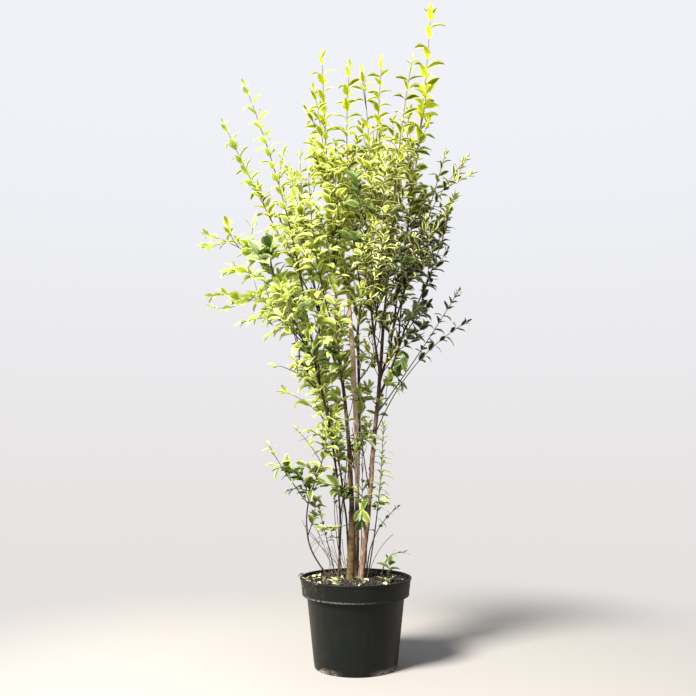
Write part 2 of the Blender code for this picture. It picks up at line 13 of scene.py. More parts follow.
import bpy
import numpy as np
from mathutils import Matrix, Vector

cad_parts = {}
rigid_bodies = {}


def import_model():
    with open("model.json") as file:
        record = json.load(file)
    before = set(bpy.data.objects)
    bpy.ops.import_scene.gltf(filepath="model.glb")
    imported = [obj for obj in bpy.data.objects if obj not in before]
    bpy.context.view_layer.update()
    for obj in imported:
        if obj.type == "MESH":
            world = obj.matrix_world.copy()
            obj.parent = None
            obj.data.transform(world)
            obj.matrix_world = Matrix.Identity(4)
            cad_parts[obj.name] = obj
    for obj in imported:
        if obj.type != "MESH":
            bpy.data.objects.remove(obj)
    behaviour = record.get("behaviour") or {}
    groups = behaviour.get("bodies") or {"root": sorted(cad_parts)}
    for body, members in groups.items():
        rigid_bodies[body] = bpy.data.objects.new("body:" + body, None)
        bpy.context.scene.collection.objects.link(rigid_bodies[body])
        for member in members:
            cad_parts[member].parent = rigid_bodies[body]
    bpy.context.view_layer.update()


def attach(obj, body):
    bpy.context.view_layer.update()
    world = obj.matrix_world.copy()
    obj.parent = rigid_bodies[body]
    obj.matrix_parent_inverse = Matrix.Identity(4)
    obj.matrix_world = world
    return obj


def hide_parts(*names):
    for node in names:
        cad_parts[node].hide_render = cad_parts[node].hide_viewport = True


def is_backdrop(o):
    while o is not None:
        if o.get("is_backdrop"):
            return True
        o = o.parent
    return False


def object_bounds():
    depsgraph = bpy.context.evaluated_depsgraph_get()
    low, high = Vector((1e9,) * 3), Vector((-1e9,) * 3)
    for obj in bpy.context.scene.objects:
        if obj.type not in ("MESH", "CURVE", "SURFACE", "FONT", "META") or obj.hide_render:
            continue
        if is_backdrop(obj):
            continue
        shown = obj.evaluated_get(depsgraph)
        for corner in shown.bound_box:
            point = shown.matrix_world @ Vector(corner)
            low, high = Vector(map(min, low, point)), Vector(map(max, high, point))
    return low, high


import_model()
TAU = 2 * math.pi
UP = np.array((0.0, 0.0, 1.0))

# %% [markdown]
# ## The camera
# The photograph was taken from low in front of the plant, tilted up a little. A camera can be
# placed by eye, but here it is solved: the rim and the base of the pot are circles of known size,
# and how far each is squashed in the picture gives the distance, the height and the tilt.

# %% The camera
PHOTO_SIDE = 696
SENSOR = 36.0
FOCAL_PIXELS = 797.04
CAMERA_PLACE = (-0.0225, -2.3855, 0.634)
CAMERA_TILT = math.radians(6.868)

camera = bpy.data.objects.new("camera", bpy.data.cameras.new("camera"))
camera.data.sensor_width = SENSOR
camera.data.lens = FOCAL_PIXELS / PHOTO_SIDE * SENSOR
camera.location = CAMERA_PLACE
camera.rotation_euler = (math.pi / 2 + CAMERA_TILT, 0.0, 0.0)
bpy.context.scene.collection.objects.link(camera)
bpy.context.scene.camera = camera
print(f"camera: {camera.data.lens:.1f} mm lens, {CAMERA_PLACE[2]:.2f} m above the floor")

# %% [markdown]
# ## Colours and nodes
# A colour read by eye from a screen is in sRGB, while shaders work in linear light. One small
# function turns the first into the second, so that every finish below can be named by the colour
# that a person sees. The others keep the node trees short: each adds a node or two, and takes
# and gives sockets, so that a finish reads like a sum.

# %% Colours and nodes
CURVE_KNEE = 0.04045
CURVE_SLOPE = 12.92
CURVE_LIFT = 0.055
CURVE_POWER = 2.4


def paint(red, green, blue):
    """A linear colour from screen values of 0 to 255. The sRGB curve is a straight line up to its
    knee, and a power beyond it."""
    levels = np.array((red, green, blue)) / 255
    raised = ((levels + CURVE_LIFT) / (1 + CURVE_LIFT)) ** CURVE_POWER
    linear = np.where(levels <= CURVE_KNEE, levels / CURVE_SLOPE, raised)
    return (*(float(level) for level in linear), 1.0)


def new_finish(name, colour, roughness):
    """A material and its Principled shader, with one colour and one roughness."""
    finish = bpy.data.materials.new(name)
    finish.use_nodes = True
    shader = finish.node_tree.nodes["Principled BSDF"]
    shader.inputs["Base Color"].default_value = colour
    shader.inputs["Roughness"].default_value = roughness
    return finish, shader


def feed(finish, socket, value):
    """Links an output into a socket, or sets the socket to a plain value."""
    if isinstance(value, bpy.types.NodeSocket):
        finish.node_tree.links.new(value, socket)
    else:
        socket.default_value = value


def add_node(finish, kind, **inputs):
    """A node of a kind, with its inputs fed by name."""
    node = finish.node_tree.nodes.new(kind)
    for name, value in inputs.items():
        feed(finish, node.inputs[name.replace("_", " ")], value)
    return node


def calculated(finish, kind, operation, *values):
    """A node that does an operation on values, with its inputs fed in order."""
    node = finish.node_tree.nodes.new(kind)
    node.operation = operation
    for socket, value in zip(node.inputs, values):
        feed(finish, socket, value)
    return node


def times(finish, product, *others):
    """A socket with the product of several."""
    for other in others:
        product = calculated(finish, "ShaderNodeMath", "MULTIPLY", product, other).outputs[0]
    return product


def object_place(finish, scale=(1.0, 1.0, 1.0)):
    """A socket with the place on the piece in metres, stretched by a scale along each axis."""
    place = add_node(finish, "ShaderNodeTexCoord").outputs["Object"]
    return add_node(finish, "ShaderNodeMapping", Vector=place, Scale=scale).outputs["Vector"]


def axes_of(finish, vector):
    """The X, Y and Z sockets of a vector."""
    return add_node(finish, "ShaderNodeSeparateXYZ", Vector=vector).outputs


def noise(finish, place, scale, detail=4.0, rough=0.55):
    """A socket with cloudy noise from 0 to 1, its lumps about 1 / scale metres wide."""
    amounts = {"Scale": scale, "Detail": detail, "Roughness": rough}
    return add_node(finish, "ShaderNodeTexNoise", Vector=place, **amounts).outputs["Fac"]


def stepped(finish, value, low, high):
    """A socket that is 0 where the value is under low and 1 where it is over high, smooth between."""
    ramp = add_node(finish, "ShaderNodeMapRange", Value=value, From_Min=low, From_Max=high)
    ramp.interpolation_type = "SMOOTHSTEP"
    return ramp.outputs["Result"]


def mixed(finish, factor, first, second):
    """A colour socket that goes from first to second. Each is a colour or a socket."""
    node = finish.node_tree.nodes.new("ShaderNodeMix")
    node.data_type = "RGBA"
    for number, value in ((0, factor), (6, first), (7, second)):
        feed(finish, node.inputs[number], value)
    return node.outputs[2]


def blended(finish, factor, first, second):
    """A shader socket that goes from the first shader node to the second."""
    node = add_node(finish, "ShaderNodeMixShader", Fac=factor)
    feed(finish, node.inputs[1], first.outputs[0])
    feed(finish, node.inputs[2], second.outputs[0])
    return node.outputs["Shader"]


def bumped(finish, shader, height, strength, distance):
    """Tips the shader's normal by a height socket, over a distance in metres."""
    bump = add_node(finish, "ShaderNodeBump", Height=height, Strength=strength, Distance=distance)
    feed(finish, shader.inputs["Normal"], bump.outputs["Normal"])


print("colours: a lime leaf is", [round(level, 2) for level in paint(200, 215, 50)[:3]])

# %% [markdown]
# ## Shapes from arrays
# Nearly every piece here is made of rings of points. The floor, the pot and the soil are profiles
# carried round an axis, and every stem and twig is a tube along a path. A tube's ring needs two
# directions square to the path. The paths are flat arcs, or nearly so, and the line square to the
# arc's plane serves as one of them all the way, so that no ring twists. Joined collects shapes as
# arrays and makes one mesh of them.

# %% Shapes from arrays
HASH_STEPS = np.array((127.1, 311.7, 74.7))
HASH_SEED_STEP = 17.3
HASH_GAIN = 43758.5453
NEARLY_STRAIGHT = 1e-6


def unit(vectors):
    """Vectors brought to length one."""
    return vectors / np.linalg.norm(vectors, axis=-1, keepdims=True)


def square_to(vectors, axes):
    """Unit vectors with what lies along the axes taken out."""
    return unit(vectors - axes * (vectors * axes).sum(axis=1, keepdims=True))


def lattice_noise(points, seed):
    """Smooth noise from 0 to 1: a hashed value at each corner of a unit lattice, blended between
    the corners."""
    cell = np.floor(points)
    share = points - cell
    share = share * share * (3 - 2 * share)
    total = np.zeros(points.shape[:-1])
    for corner in np.ndindex(2, 2, 2):
        hashed = np.sin((cell + corner) @ HASH_STEPS + seed * HASH_SEED_STEP) * HASH_GAIN
        weight = np.prod(np.where(np.array(corner) == 1, share, 1 - share), axis=-1)
        total += weight * (hashed - np.floor(hashed))
    return total


def frames_along(points):
    """Two unit vectors across a flat path at each point: one in its plane, the other square to it."""
    ahead = unit(np.gradient(points, axis=0))
    chord = points[-1] - points[0]
    bulge = points[len(points) // 2] - (points[0] + points[-1]) / 2
    square = np.cross(chord, bulge)
    if np.linalg.norm(square) < NEARLY_STRAIGHT * np.dot(chord, chord):
        square = np.cross(chord, np.eye(3)[0 if abs(chord[0]) < abs(chord[1]) else 1])
    across = unit(np.cross(unit(square), ahead))
    return across, np.cross(ahead, across)


def circle_of(sides):
    """Cosines and sines of even angles round a circle."""
    angles = np.arange(sides) * TAU / sides
    return np.cos(angles), np.sin(angles)


def tube_points(points, radii):
    """Rings round a path. Radii is one row a ring, with one value a side."""
    across, other = frames_along(points)
    cosines, sines = circle_of(radii.shape[1])
    around = cosines[None, :, None] * across[:, None] + sines[None, :, None] * other[:, None]
    return points[:, None] + around * radii[..., None]


def turned(profile, sides):
    """Rings of a profile of radii and heights, carried round the upright axis."""
    flat = profile[:, None, :1] * np.stack(circle_of(sides), axis=1)[None]
    heights = np.broadcast_to(profile[:, None, 1:], (len(profile), sides, 1))
    return np.concatenate((flat, heights), axis=2)


def ring_faces(rings, sides):
    """Quads between each ring and the next, facing out where rings follow the path."""
    ring, k = np.meshgrid(np.arange(rings - 1), np.arange(sides), indexing="ij")
    start = ring * sides
    n = (k + 1) % sides
    return np.stack((start + k, start + n, start + sides + n, start + sides + k), axis=-1).reshape(-1, 4)


def mesh_object(name, points, faces, finishes):
    """An object at the origin with a mesh of points and faces, linked into the scene."""
    mesh = bpy.data.meshes.new(name)
    mesh.from_pydata(points.reshape(-1, 3).tolist(), [], faces)
    for finish in finishes:
        mesh.materials.append(finish)
    made = bpy.data.objects.new(name, mesh)
    bpy.context.scene.collection.objects.link(made)
    return made


class Joined:
    """Many shapes kept as arrays, to be made into one piece."""

    def __init__(self):
        self.points = []
        self.faces = []
        self.slots = []
        self.count = 0

    def add(self, points, faces, slots=0):
        """Adds a shape. Slots is one material number, or one for each face."""
        self.points.append(points.reshape(-1, 3))
        self.faces += [[self.count + corner for corner in face] for face in faces]
        self.slots.append(np.broadcast_to(slots, len(faces)))
        self.count += points.size // 3

    def add_rings(self, rings, slots=0):
        """Adds a shape of rings, closed by a flat face at each end."""
        corners = np.arange(rings.size // 3).reshape(rings.shape[:2])
        ends = [corners[0, ::-1].tolist(), corners[-1].tolist()]
        self.add(rings, ring_faces(*corners.shape).tolist() + ends, slots)

    def make(self, name, finishes, nodes=()):
        """Makes the piece, in its material slot, standing for the nodes that it replaces."""
        piece = mesh_object(name, np.concatenate(self.points), self.faces, finishes)
        slots = np.concatenate(self.slots).astype(np.int32)
        piece.data.polygons.foreach_set("material_index", slots)
        piece.data.shade_smooth()
        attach(piece, "root")
        if nodes:
            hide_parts(*nodes)
        print(f"{name}: {sum(len(face) - 2 for face in self.faces)} triangles")


print(f"shapes: two rings of six points have {len(ring_faces(2, 6))} faces between them")

# %% [markdown]
# ## Light and floor
# The plant stands in soft daylight, with the sun from the upper left. A pale sky lights it from
# all round, and a broad lamp does for the sun. The floor is a disc that fades away with distance,
# so that no horizon shows from any side. Only the pot's soft shadow stays.

# %% Light and floor
SKY_LOW = paint(229, 225, 223)
SKY_HIGH = paint(240, 242, 248)
SKY_RISE = (-0.25, 0.45)
SKY_LIGHT = 0.54
SUN_PLACE = (-3.6, -3.7, 5.2)
SUN_AIM = (0.0, 0.0, 1.1)
SUN_SIZE = 1.9
SUN_WATTS = 2120.0
SUN_COLOUR = paint(255, 249, 238)[:3]
FLOOR_REACH = 1.7
FLOOR_SOLID = 0.55
FLOOR_RINGS = 24
FLOOR_SIDES = 96
FACE_UP = (0, 3, 2, 1)
FLOOR_COLOUR = paint(148, 146, 145)


def make_sky():
    """A pale sky, warmer below, seen at full strength and lighting the plant a little less."""
    world = bpy.data.worlds.new("studio")
    world.use_nodes = True
    bpy.context.scene.world = world
    place = add_node(world, "ShaderNodeTexCoord").outputs["Generated"]
    rise = stepped(world, axes_of(world, place)["Z"], *SKY_RISE)
    sky = mixed(world, rise, SKY_LOW, SKY_HIGH)
    seen = world.node_tree.nodes["Background"]
    feed(world, seen.inputs["Color"], sky)
    lit = add_node(world, "ShaderNodeBackground", Color=sky, Strength=SKY_LIGHT)
    ray = add_node(world, "ShaderNodeLightPath").outputs["Is Camera Ray"]
    output = world.node_tree.nodes["World Output"]
    feed(world, output.inputs["Surface"], blended(world, ray, lit, seen))


def make_sun():
    """A broad lamp at the upper left, turned to face the crown."""
    lamp = bpy.data.lights.new("sun_lamp", "AREA")
    lamp.size = SUN_SIZE
    lamp.energy = SUN_WATTS
    lamp.color = SUN_COLOUR
    holder = bpy.data.objects.new("sun_lamp", lamp)
    aim = np.array(SUN_AIM) - np.array(SUN_PLACE)
    holder.location = SUN_PLACE
    turn = math.atan2(-aim[0], aim[1])
    holder.rotation_euler = (math.atan2(math.hypot(aim[0], aim[1]), -aim[2]), 0.0, turn)
    bpy.context.scene.collection.objects.link(holder)


def make_floor():
    """A flat disc of rings and spokes with its faces up, solid under the pot and clear at its edge."""
    finish, shader = new_finish("pale floor", FLOOR_COLOUR, roughness=0.85)
    far = calculated(finish, "ShaderNodeVectorMath", "LENGTH", object_place(finish)).outputs["Value"]
    feed(finish, shader.inputs["Alpha"], stepped(finish, far, FLOOR_REACH, FLOOR_SOLID))
    radii = np.linspace(0.0, FLOOR_REACH, FLOOR_RINGS)[1:]
    rings = turned(np.stack((radii, np.zeros_like(radii)), axis=1), FLOOR_SIDES)
    faces = ring_faces(len(radii), FLOOR_SIDES)[:, FACE_UP].tolist()
    mesh_object("floor", rings, [list(range(FLOOR_SIDES)), *faces], [finish])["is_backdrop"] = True


make_sky()
make_sun()
make_floor()
bpy.context.scene.view_settings.view_transform = "Standard"
print("light: a pale sky, one soft sun, and a floor that fades out")

# %% [markdown]
# ## The pot
# The real pot is thin black plastic, blown or moulded: a tapering body, a deep collar that stands
# out from it, and a lip. Such a shape is turned: one profile, carried round the axis. The corners
# of the profile are rounded first, because no moulded edge is sharp, and the light that runs
# along them is what makes the plastic look real. The finish has its dust and scuffs where they
# gather: on the collar's lower edge, and in a ragged band round the foot. A painted highlight
# makes the collar's edge paler towards the lit left, and a painted warm reflection browns the
# pot's left and right sides.

# %% The pot's shape
RIM_RADIUS = 0.1625
POT_HEIGHT = 0.251
BASE_RADIUS = 0.120
BODY_TOP_RADIUS = 0.142
COLLAR_FOOT = 0.201
COLLAR_FOOT_RADIUS = 0.1555
COLLAR_TOP_RADIUS = 0.1600
LIP_FOOT = 0.2445
POT_WALL = 0.004
HUB_RADIUS = 0.004
CORNER_REACH = 0.0016
CORNER_STEPS = 5
POT_SIDES = 160
POT_WOBBLE = 0.0005
WOBBLE_SCALE = 14.0
WOBBLE_SEED = 3


def rounded(corners, reach):
    """A profile whose corners become short curves. Each curve is pulled by its corner and starts
    and ends a given reach from it, or half way along the side where that is nearer."""
    corners = np.array(corners)
    rows = [corners[:1]]
    shares = np.linspace(0.0, 1.0, CORNER_STEPS)[:, None]
    for before, corner, after in zip(corners, corners[1:], corners[2:]):
        back = before - corner
        on = after - corner
        start = corner + back * min(0.5, reach / np.linalg.norm(back))
        end = corner + on * min(0.5, reach / np.linalg.norm(on))
        rows.append(start * (1 - shares) ** 2 + corner * 2 * shares * (1 - shares) + end * shares**2)
    rows.append(corners[-1:])
    return np.concatenate(rows)


POT_PROFILE = (
    (HUB_RADIUS, 0.0),
    (BASE_RADIUS - 0.0012, 0.0),
    (BASE_RADIUS, 0.0035),
    (BODY_TOP_RADIUS, COLLAR_FOOT - 0.0015),
    (COLLAR_FOOT_RADIUS - 0.0006, COLLAR_FOOT - 0.0006),
    (COLLAR_FOOT_RADIUS + 0.0004, COLLAR_FOOT + 0.0018),
    (COLLAR_FOOT_RADIUS - 0.0002, COLLAR_FOOT + 0.0040),
    (COLLAR_TOP_RADIUS, LIP_FOOT - 0.0015),
    (COLLAR_TOP_RADIUS + 0.0004, LIP_FOOT),
    (RIM_RADIUS, LIP_FOOT + 0.0010),
    (RIM_RADIUS, POT_HEIGHT),
    (RIM_RADIUS - 0.0058, POT_HEIGHT),
    (RIM_RADIUS - 0.0068, LIP_FOOT),
    (COLLAR_FOOT_RADIUS - POT_WALL, COLLAR_FOOT + POT_WALL),
    (BODY_TOP_RADIUS - POT_WALL, COLLAR_FOOT),
    (BASE_RADIUS - POT_WALL, POT_WALL),
    (HUB_RADIUS, POT_WALL),
)
print(f"pot: {len(POT_PROFILE)} corners in its profile")

# %% The pot's finish
POT_BLACK = paint(10, 14, 12)
POT_WORN = paint(20, 23, 20)
POT_REFLECTED_BROWN = paint(36, 30, 26)
# A painted warm reflection of the floor, which browns the pot's left and right sides.
POT_DUST = paint(160, 150, 138)
# Pale scuffs on the collar's lower edge, with a painted highlight that grows towards the lit left.
POT_EDGE_SCUFF_AND_HIGHLIGHT = paint(98, 97, 90)
POT_ALGAE = paint(112, 120, 98)
POT_GLOSS = 0.18
REFLECTION_SIDES = (0.060, 0.150)
SCUFF_BAND = (0.020, 0.0)
SCUFF_SIDES = (0.030, 0.085)
EDGE_ABOVE = (COLLAR_FOOT + 0.006, COLLAR_FOOT + 0.001)
EDGE_BELOW = (COLLAR_FOOT - 0.002, COLLAR_FOOT)
EDGE_LIT_LEFT = (0.140, -0.120)
ALGAE_LEFT = (-0.085, -0.115)
ALGAE_BAND = (0.200, 0.215)


def pot_finish():
    """Black plastic, faintly blotched, dusty low down, scuffed at the foot and the collar's edge.
    The collar's edge gets paler towards the lit left, a painted highlight, and the pot's left and
    right sides take a painted warm reflection in brown. Each layer is a colour, with what is
    measured and its limits. Its cover is their product."""
    finish, shader = new_finish("pot plastic", POT_BLACK, roughness=0.42)
    shader.inputs["Specular IOR Level"].default_value = POT_GLOSS
    place = object_place(finish)
    across, _, height = axes_of(finish, place)
    aside = calculated(finish, "ShaderNodeMath", "ABSOLUTE", across).outputs[0]
    streaks = noise(finish, object_place(finish, (1.0, 1.0, 0.22)), 60.0)
    speckle = noise(finish, place, 230.0, 3.0)
    layers = (
        (POT_WORN, ((noise(finish, place, 14.0), 0.35, 0.75), (streaks, 0.40, 0.70))),
        # The painted warm reflection on the pot's left and right sides.
        (POT_REFLECTED_BROWN, ((aside, *REFLECTION_SIDES), (streaks, 0.20, 0.80))),
        (POT_DUST, (
            (height, *SCUFF_BAND), (noise(finish, place, 26.0), 0.42, 0.52),
            (aside, *SCUFF_SIDES), (speckle, 0.38, 0.60),
        )),
        # Scuffs on the collar's lower edge, made paler towards the lit left by a painted highlight.
        (POT_EDGE_SCUFF_AND_HIGHLIGHT, (
            (height, *EDGE_ABOVE), (height, *EDGE_BELOW), (speckle, 0.36, 0.66), (across, *EDGE_LIT_LEFT),
        )),
        (POT_ALGAE, (
            (across, *ALGAE_LEFT), (height, *ALGAE_BAND),
            (noise(finish, place, 75.0), 0.58, 0.70), (speckle, 0.40, 0.62),
        )),
    )
    body = POT_BLACK
    for colour, limits in layers:
        cover = times(finish, *(stepped(finish, *limit) for limit in limits))
        body = mixed(finish, cover, body, colour)
    feed(finish, shader.inputs["Base Color"], body)
    bumped(finish, shader, speckle, strength=0.25, distance=0.0006)
    return finish


# %% Make the pot
pot = Joined()
pot_rings = turned(rounded(POT_PROFILE, CORNER_REACH), POT_SIDES)
pot_pull = POT_WOBBLE * lattice_noise(pot_rings * WOBBLE_SCALE, WOBBLE_SEED)
pot_rings[..., :2] *= 1 - (pot_pull / RIM_RADIUS)[..., None]
pot.add_rings(pot_rings)
pot.make("nursery_pot", [pot_finish()], ["pot"])

# %% [markdown]
# ## The soil
# Potting mix is dark, open and lumpy, with paler bark, old leaves and a little moss on top. The
# body is turned like the pot, with noise lifting its top. The crumbs are small blocks, each
# squashed and turned its own way, set out as one array. Their colours are dealt out by place, so
# the moss and litter lie where the photograph has them.

# %% The soil's body
SOIL_TOP = 0.243
SOIL_RADIUS = 0.1530
SOIL_SETTLED = 0.002
SOIL_LUMPS = 0.0035
LUMP_SIZES = ((55.0, 1.2, 5), (160.0, 0.9, 6))
HEAP_HEIGHT = 0.004
HEAP_FORWARD = 0.02
HEAP_SPREAD = 0.009
SOIL_CLEAR = 0.001
SOIL_HUB = 0.002
SOIL_RINGS = 56
SOIL_SIDES = 150


def soil_height(x, y):
    """The soil's top at a place: a low heap round the stems, with two sizes of noise on it."""
    flat = np.stack((x, y, np.zeros_like(x)), axis=-1)
    heap = HEAP_HEIGHT * np.exp(-(x**2 + (y + HEAP_FORWARD) ** 2) / HEAP_SPREAD)
    large, small = ((lattice_noise(flat * scale, seed) - 0.5) * gain for scale, gain, seed in LUMP_SIZES)
    return SOIL_TOP - SOIL_SETTLED + heap + SOIL_LUMPS * (large + small)


soil_reach = np.linspace(SOIL_HUB, SOIL_RADIUS, SOIL_RINGS)[::-1]
soil_side = (
    (HUB_RADIUS, POT_WALL + SOIL_CLEAR),
    (BASE_RADIUS - POT_WALL - SOIL_CLEAR, POT_WALL + SOIL_CLEAR),
    (BODY_TOP_RADIUS - POT_WALL - SOIL_CLEAR, COLLAR_FOOT),
    (COLLAR_FOOT_RADIUS - POT_WALL - SOIL_CLEAR, COLLAR_FOOT + POT_WALL + SOIL_CLEAR),
)
soil_rings = turned(np.array((*soil_side, *((reach, SOIL_TOP) for reach in soil_reach))), SOIL_SIDES)
soil_top = soil_rings[len(soil_side):]
soil_top[..., 2] = soil_height(soil_top[..., 0], soil_top[..., 1])
soil = Joined()
soil.add_rings(soil_rings)
print(f"soil: {len(soil_rings)} rings of {SOIL_SIDES} points")

# %% The soil's finish
SOIL_DARK = paint(20, 16, 12)
SOIL_BROWN = paint(50, 38, 29)


def soil_finish():
    """Near-black crumb with brown fibres through it."""
    finish, shader = new_finish("potting soil", SOIL_DARK, roughness=0.95)
    crumbs = noise(finish, object_place(finish), 260.0, 5.0, 0.7)
    colour = mixed(finish, stepped(finish, crumbs, 0.50, 0.72), SOIL_DARK, SOIL_BROWN)
    feed(finish, shader.inputs["Base Color"], colour)
    bumped(finish, shader, crumbs, strength=0.9, distance=0.003)
    return finish


soil.make("potting_soil", [soil_finish()], ["soil"])

# %% The crumbs
CRUMB_SEED = 11
CRUMB_COUNT = 2600
CRUMB_SIZES = (0.003, 0.0125)
CRUMB_LEAST = (0.45, 0.25, 0.15)
CRUMB_MOST = (1.0, 0.60, 0.45)
CRUMB_SKEW = 0.35
CRUMB_TILT = 0.7
CRUMB_SPIN = (1, 1, 4)
CRUMB_EDGE = 0.004
CRUMB_COLOURS = (
    ("dark crumb", paint(15, 12, 9)),
    ("brown bark crumb", paint(46, 34, 26)),
    ("tan bark crumb", paint(110, 88, 62)),
    ("moss crumb", paint(88, 92, 54)),
    ("pale litter crumb", paint(150, 146, 120)),
)
CRUMB_SHARES = (0.62, 0.26, 0.05, 0.04, 0.03)
LITTER_MIDDLE = (-0.095, 0.00)
LITTER_REACH = 0.090
LITTER_KINDS = (0, 0, 0, 1, 3, 4)
BOX_FACES = np.array(((0, 1, 3, 2), (4, 6, 7, 5), (0, 4, 5, 1), (2, 3, 7, 6), (0, 2, 6, 4), (1, 5, 7, 3)))


def turns_from(angles):
    """Rotation matrices from three angles each, about X, then Y, then Z."""
    matrices = np.tile(np.eye(3), (len(angles), 1, 1))
    for axis, (a, b) in enumerate(((1, 2), (2, 0), (0, 1))):
        turn = np.tile(np.eye(3), (len(angles), 1, 1))
        turn[:, a, a] = turn[:, b, b] = np.cos(angles[:, axis])
        turn[:, b, a] = np.sin(angles[:, axis])
        turn[:, a, b] = -turn[:, b, a]
        matrices = turn @ matrices
    return matrices


def strewn(chance, count, reach):
    """Places spread evenly over a disc, as X and Y."""
    radius = reach * np.sqrt(chance.random(count))
    angle = chance.random(count) * TAU
    return np.stack((radius * np.cos(angle), radius * np.sin(angle)), axis=1)


chance = np.random.default_rng(CRUMB_SEED)
crumb_x, crumb_y = strewn(chance, CRUMB_COUNT, SOIL_RADIUS - CRUMB_EDGE).T
crumb_size = chance.uniform(*CRUMB_SIZES, (CRUMB_COUNT, 1))
crumb_size = crumb_size * chance.uniform(CRUMB_LEAST, CRUMB_MOST, (CRUMB_COUNT, 3))
box_corners = np.array(list(np.ndindex(2, 2, 2))) - 0.5
crumb_skew = chance.uniform(-CRUMB_SKEW, CRUMB_SKEW, (CRUMB_COUNT, *box_corners.shape))
crumb_shape = box_corners[None] * (1 + crumb_skew)
crumb_turn = turns_from(chance.uniform(-CRUMB_TILT, CRUMB_TILT, (CRUMB_COUNT, 3)) * CRUMB_SPIN)
crumb_points = (crumb_shape * crumb_size[:, None]) @ crumb_turn.transpose(0, 2, 1)
crumb_points += np.stack((crumb_x, crumb_y, soil_height(crumb_x, crumb_y)), axis=1)[:, None]
crumb_kind = chance.choice(len(CRUMB_COLOURS), CRUMB_COUNT, p=CRUMB_SHARES)
from_litter = np.hypot(crumb_x - LITTER_MIDDLE[0], crumb_y - LITTER_MIDDLE[1])
littered = from_litter < LITTER_REACH * chance.random(CRUMB_COUNT) ** 0.5
crumb_kind[littered] = chance.choice(LITTER_KINDS, littered.sum())
crumb_faces = (np.arange(CRUMB_COUNT)[:, None, None] * len(box_corners) + BOX_FACES[None]).reshape(-1, 4)
crumbs = Joined()
crumbs.add(crumb_points, crumb_faces.tolist(), np.repeat(crumb_kind, len(BOX_FACES)))
crumb_finishes = [new_finish(name, colour, roughness=0.9)[0] for name, colour in CRUMB_COLOURS]
crumbs.make("soil_crumbs", crumb_finishes)

# %% [markdown]
# ## The stems
# Seven stems stand in the soil. Each rises from a flared foot and thins slowly, apart from the
# one that was cut back, which thickens upwards. A stem swells a little at every pair of old leaf
# scars, and wears its own bark: mossy, tan, red-brown or dark. A plain tube would do for
# the outline, but close up a stem is never round. Here the radius is a function of height and
# angle: taper, flare, swellings, scars and fine ridges are added before the ring is drawn.
#
# Each stem's row gives its name and bark, its foot on the soil, a point half way, its top, and its
# radii on the way up. A bough's row gives its parent, how far up the parent it starts, a point
# half way and its top. Places are in whole millimetres, and the radii in tenths of one.

# %% The stems and boughs
MILLIMETRES = 1000
TENTHS = 10000
STEMS = (
    ("main_stem", "mossy", (-16, -6), (-16, -12, 560), (-50, -22, 905), (116, 114, 74, 64, 55, 48, 42)),
    ("cut_back_stem", "tan", (3, 36), (4, 34, 580), (-21, 32, 1090), (62, 60, 66, 72, 83, 74, 52)),
    ("rear_stem", "dark", (-10, 72), (8, 72, 550), (8, 85, 980), (58, 54, 50, 47, 45, 43, 41)),
    ("right_stem", "red", (13, -6), (52, -18, 600), (84, -22, 1000), (92, 84, 70, 64, 60, 52, 42)),
    ("left_stem", "dark", (-52, 14), (-50, -6, 490), (-112, -58, 830), (34, 30, 29, 30, 32, 32, 32)),
    ("inner_left_stem", "dark", (-20, 52), (-36, 50, 480), (-108, 62, 830), (32, 29, 28, 29, 31, 31, 31)),
    ("left_sucker", "dark", (-56, -16), (-134, -30, 350), (-116, -50, 530), (26, 24, 23, 22, 21, 20, 19)),
)
BOUGHS = (
    ("left_high_bough", "main_stem", 0.86, (-85, 0, 950), (-118, 20, 1050)),
    ("left_front_bough", "left_stem", 1.0, (-125, -66, 910), (-140, -70, 990)),
    ("left_rear_bough", "inner_left_stem", 1.0, (-128, 68, 880), (-150, 74, 930)),
    ("left_low_bough", "inner_left_stem", 0.8, (-130, 22, 830), (-170, 12, 885)),
    ("centre_bough", "main_stem", 1.0, (-54, -34, 980), (-56, -44, 1050)),
    ("rear_bough", "rear_stem", 1.0, (18, 98, 1070), (32, 112, 1150)),
    ("right_inner_bough", "right_stem", 0.8, (56, -50, 940), (44, -68, 1060)),
    ("right_middle_bough", "right_stem", 1.0, (90, -34, 1060), (97, -44, 1120)),
    ("right_rear_bough", "right_stem", 0.77, (105, 20, 930), (125, 30, 1060)),
    ("right_outer_bough", "right_stem", 0.7, (115, -36, 880), (145, -38, 970)),
)
BOUGH_RADII = (0.0038, 0.0034, 0.0031)
BARK_RING = 0.004
LEAST_RINGS = 5
BARK_SIDES = 20
FLARE = 1.45
FLARE_HEIGHT = 0.035
FLARE_FADE = -3.0
LOBES = ((0.30, 3, 1), (0.15, 5, 2))
SCAR_SPACING = 0.034
SCAR_SHIFT = 0.37
SCAR_REACH = 0.0028
SCAR_SWELL = (0.05, 0.22)
SCAR_SHARPNESS = 8
RIDGES = ((0.13, 3.2, 90.0, 0), (0.16, 1.0, 22.0, 40))
SWAY_LENGTH = 0.06
SWAY_ROWS = (0.3, 7.7)


def metres(values):
    """Whole millimetres as metres."""
    return np.array(values) / MILLIMETRES


def through(foot, middle, top, spacing):
    """Points on the parabola through three points, about one spacing apart. Its share t passes the
    middle where the chord lengths do. Each point is a sum of the three, with weights that are
    products of t's distances to the other two, made so that each is 1 at its own point."""
    first = np.linalg.norm(middle - foot)
    second = np.linalg.norm(top - middle)
    bend = first / (first + second)
    count = max(LEAST_RINGS, round((first + second) / spacing) + 1)
    t = np.linspace(0.0, 1.0, count)[:, None]
    at_foot = (t - bend) * (t - 1) / bend
    at_middle = t * (t - 1) / (bend * (bend - 1))
    at_top = t * (t - bend) / (1 - bend)
    return foot * at_foot + middle * at_middle + top * at_top


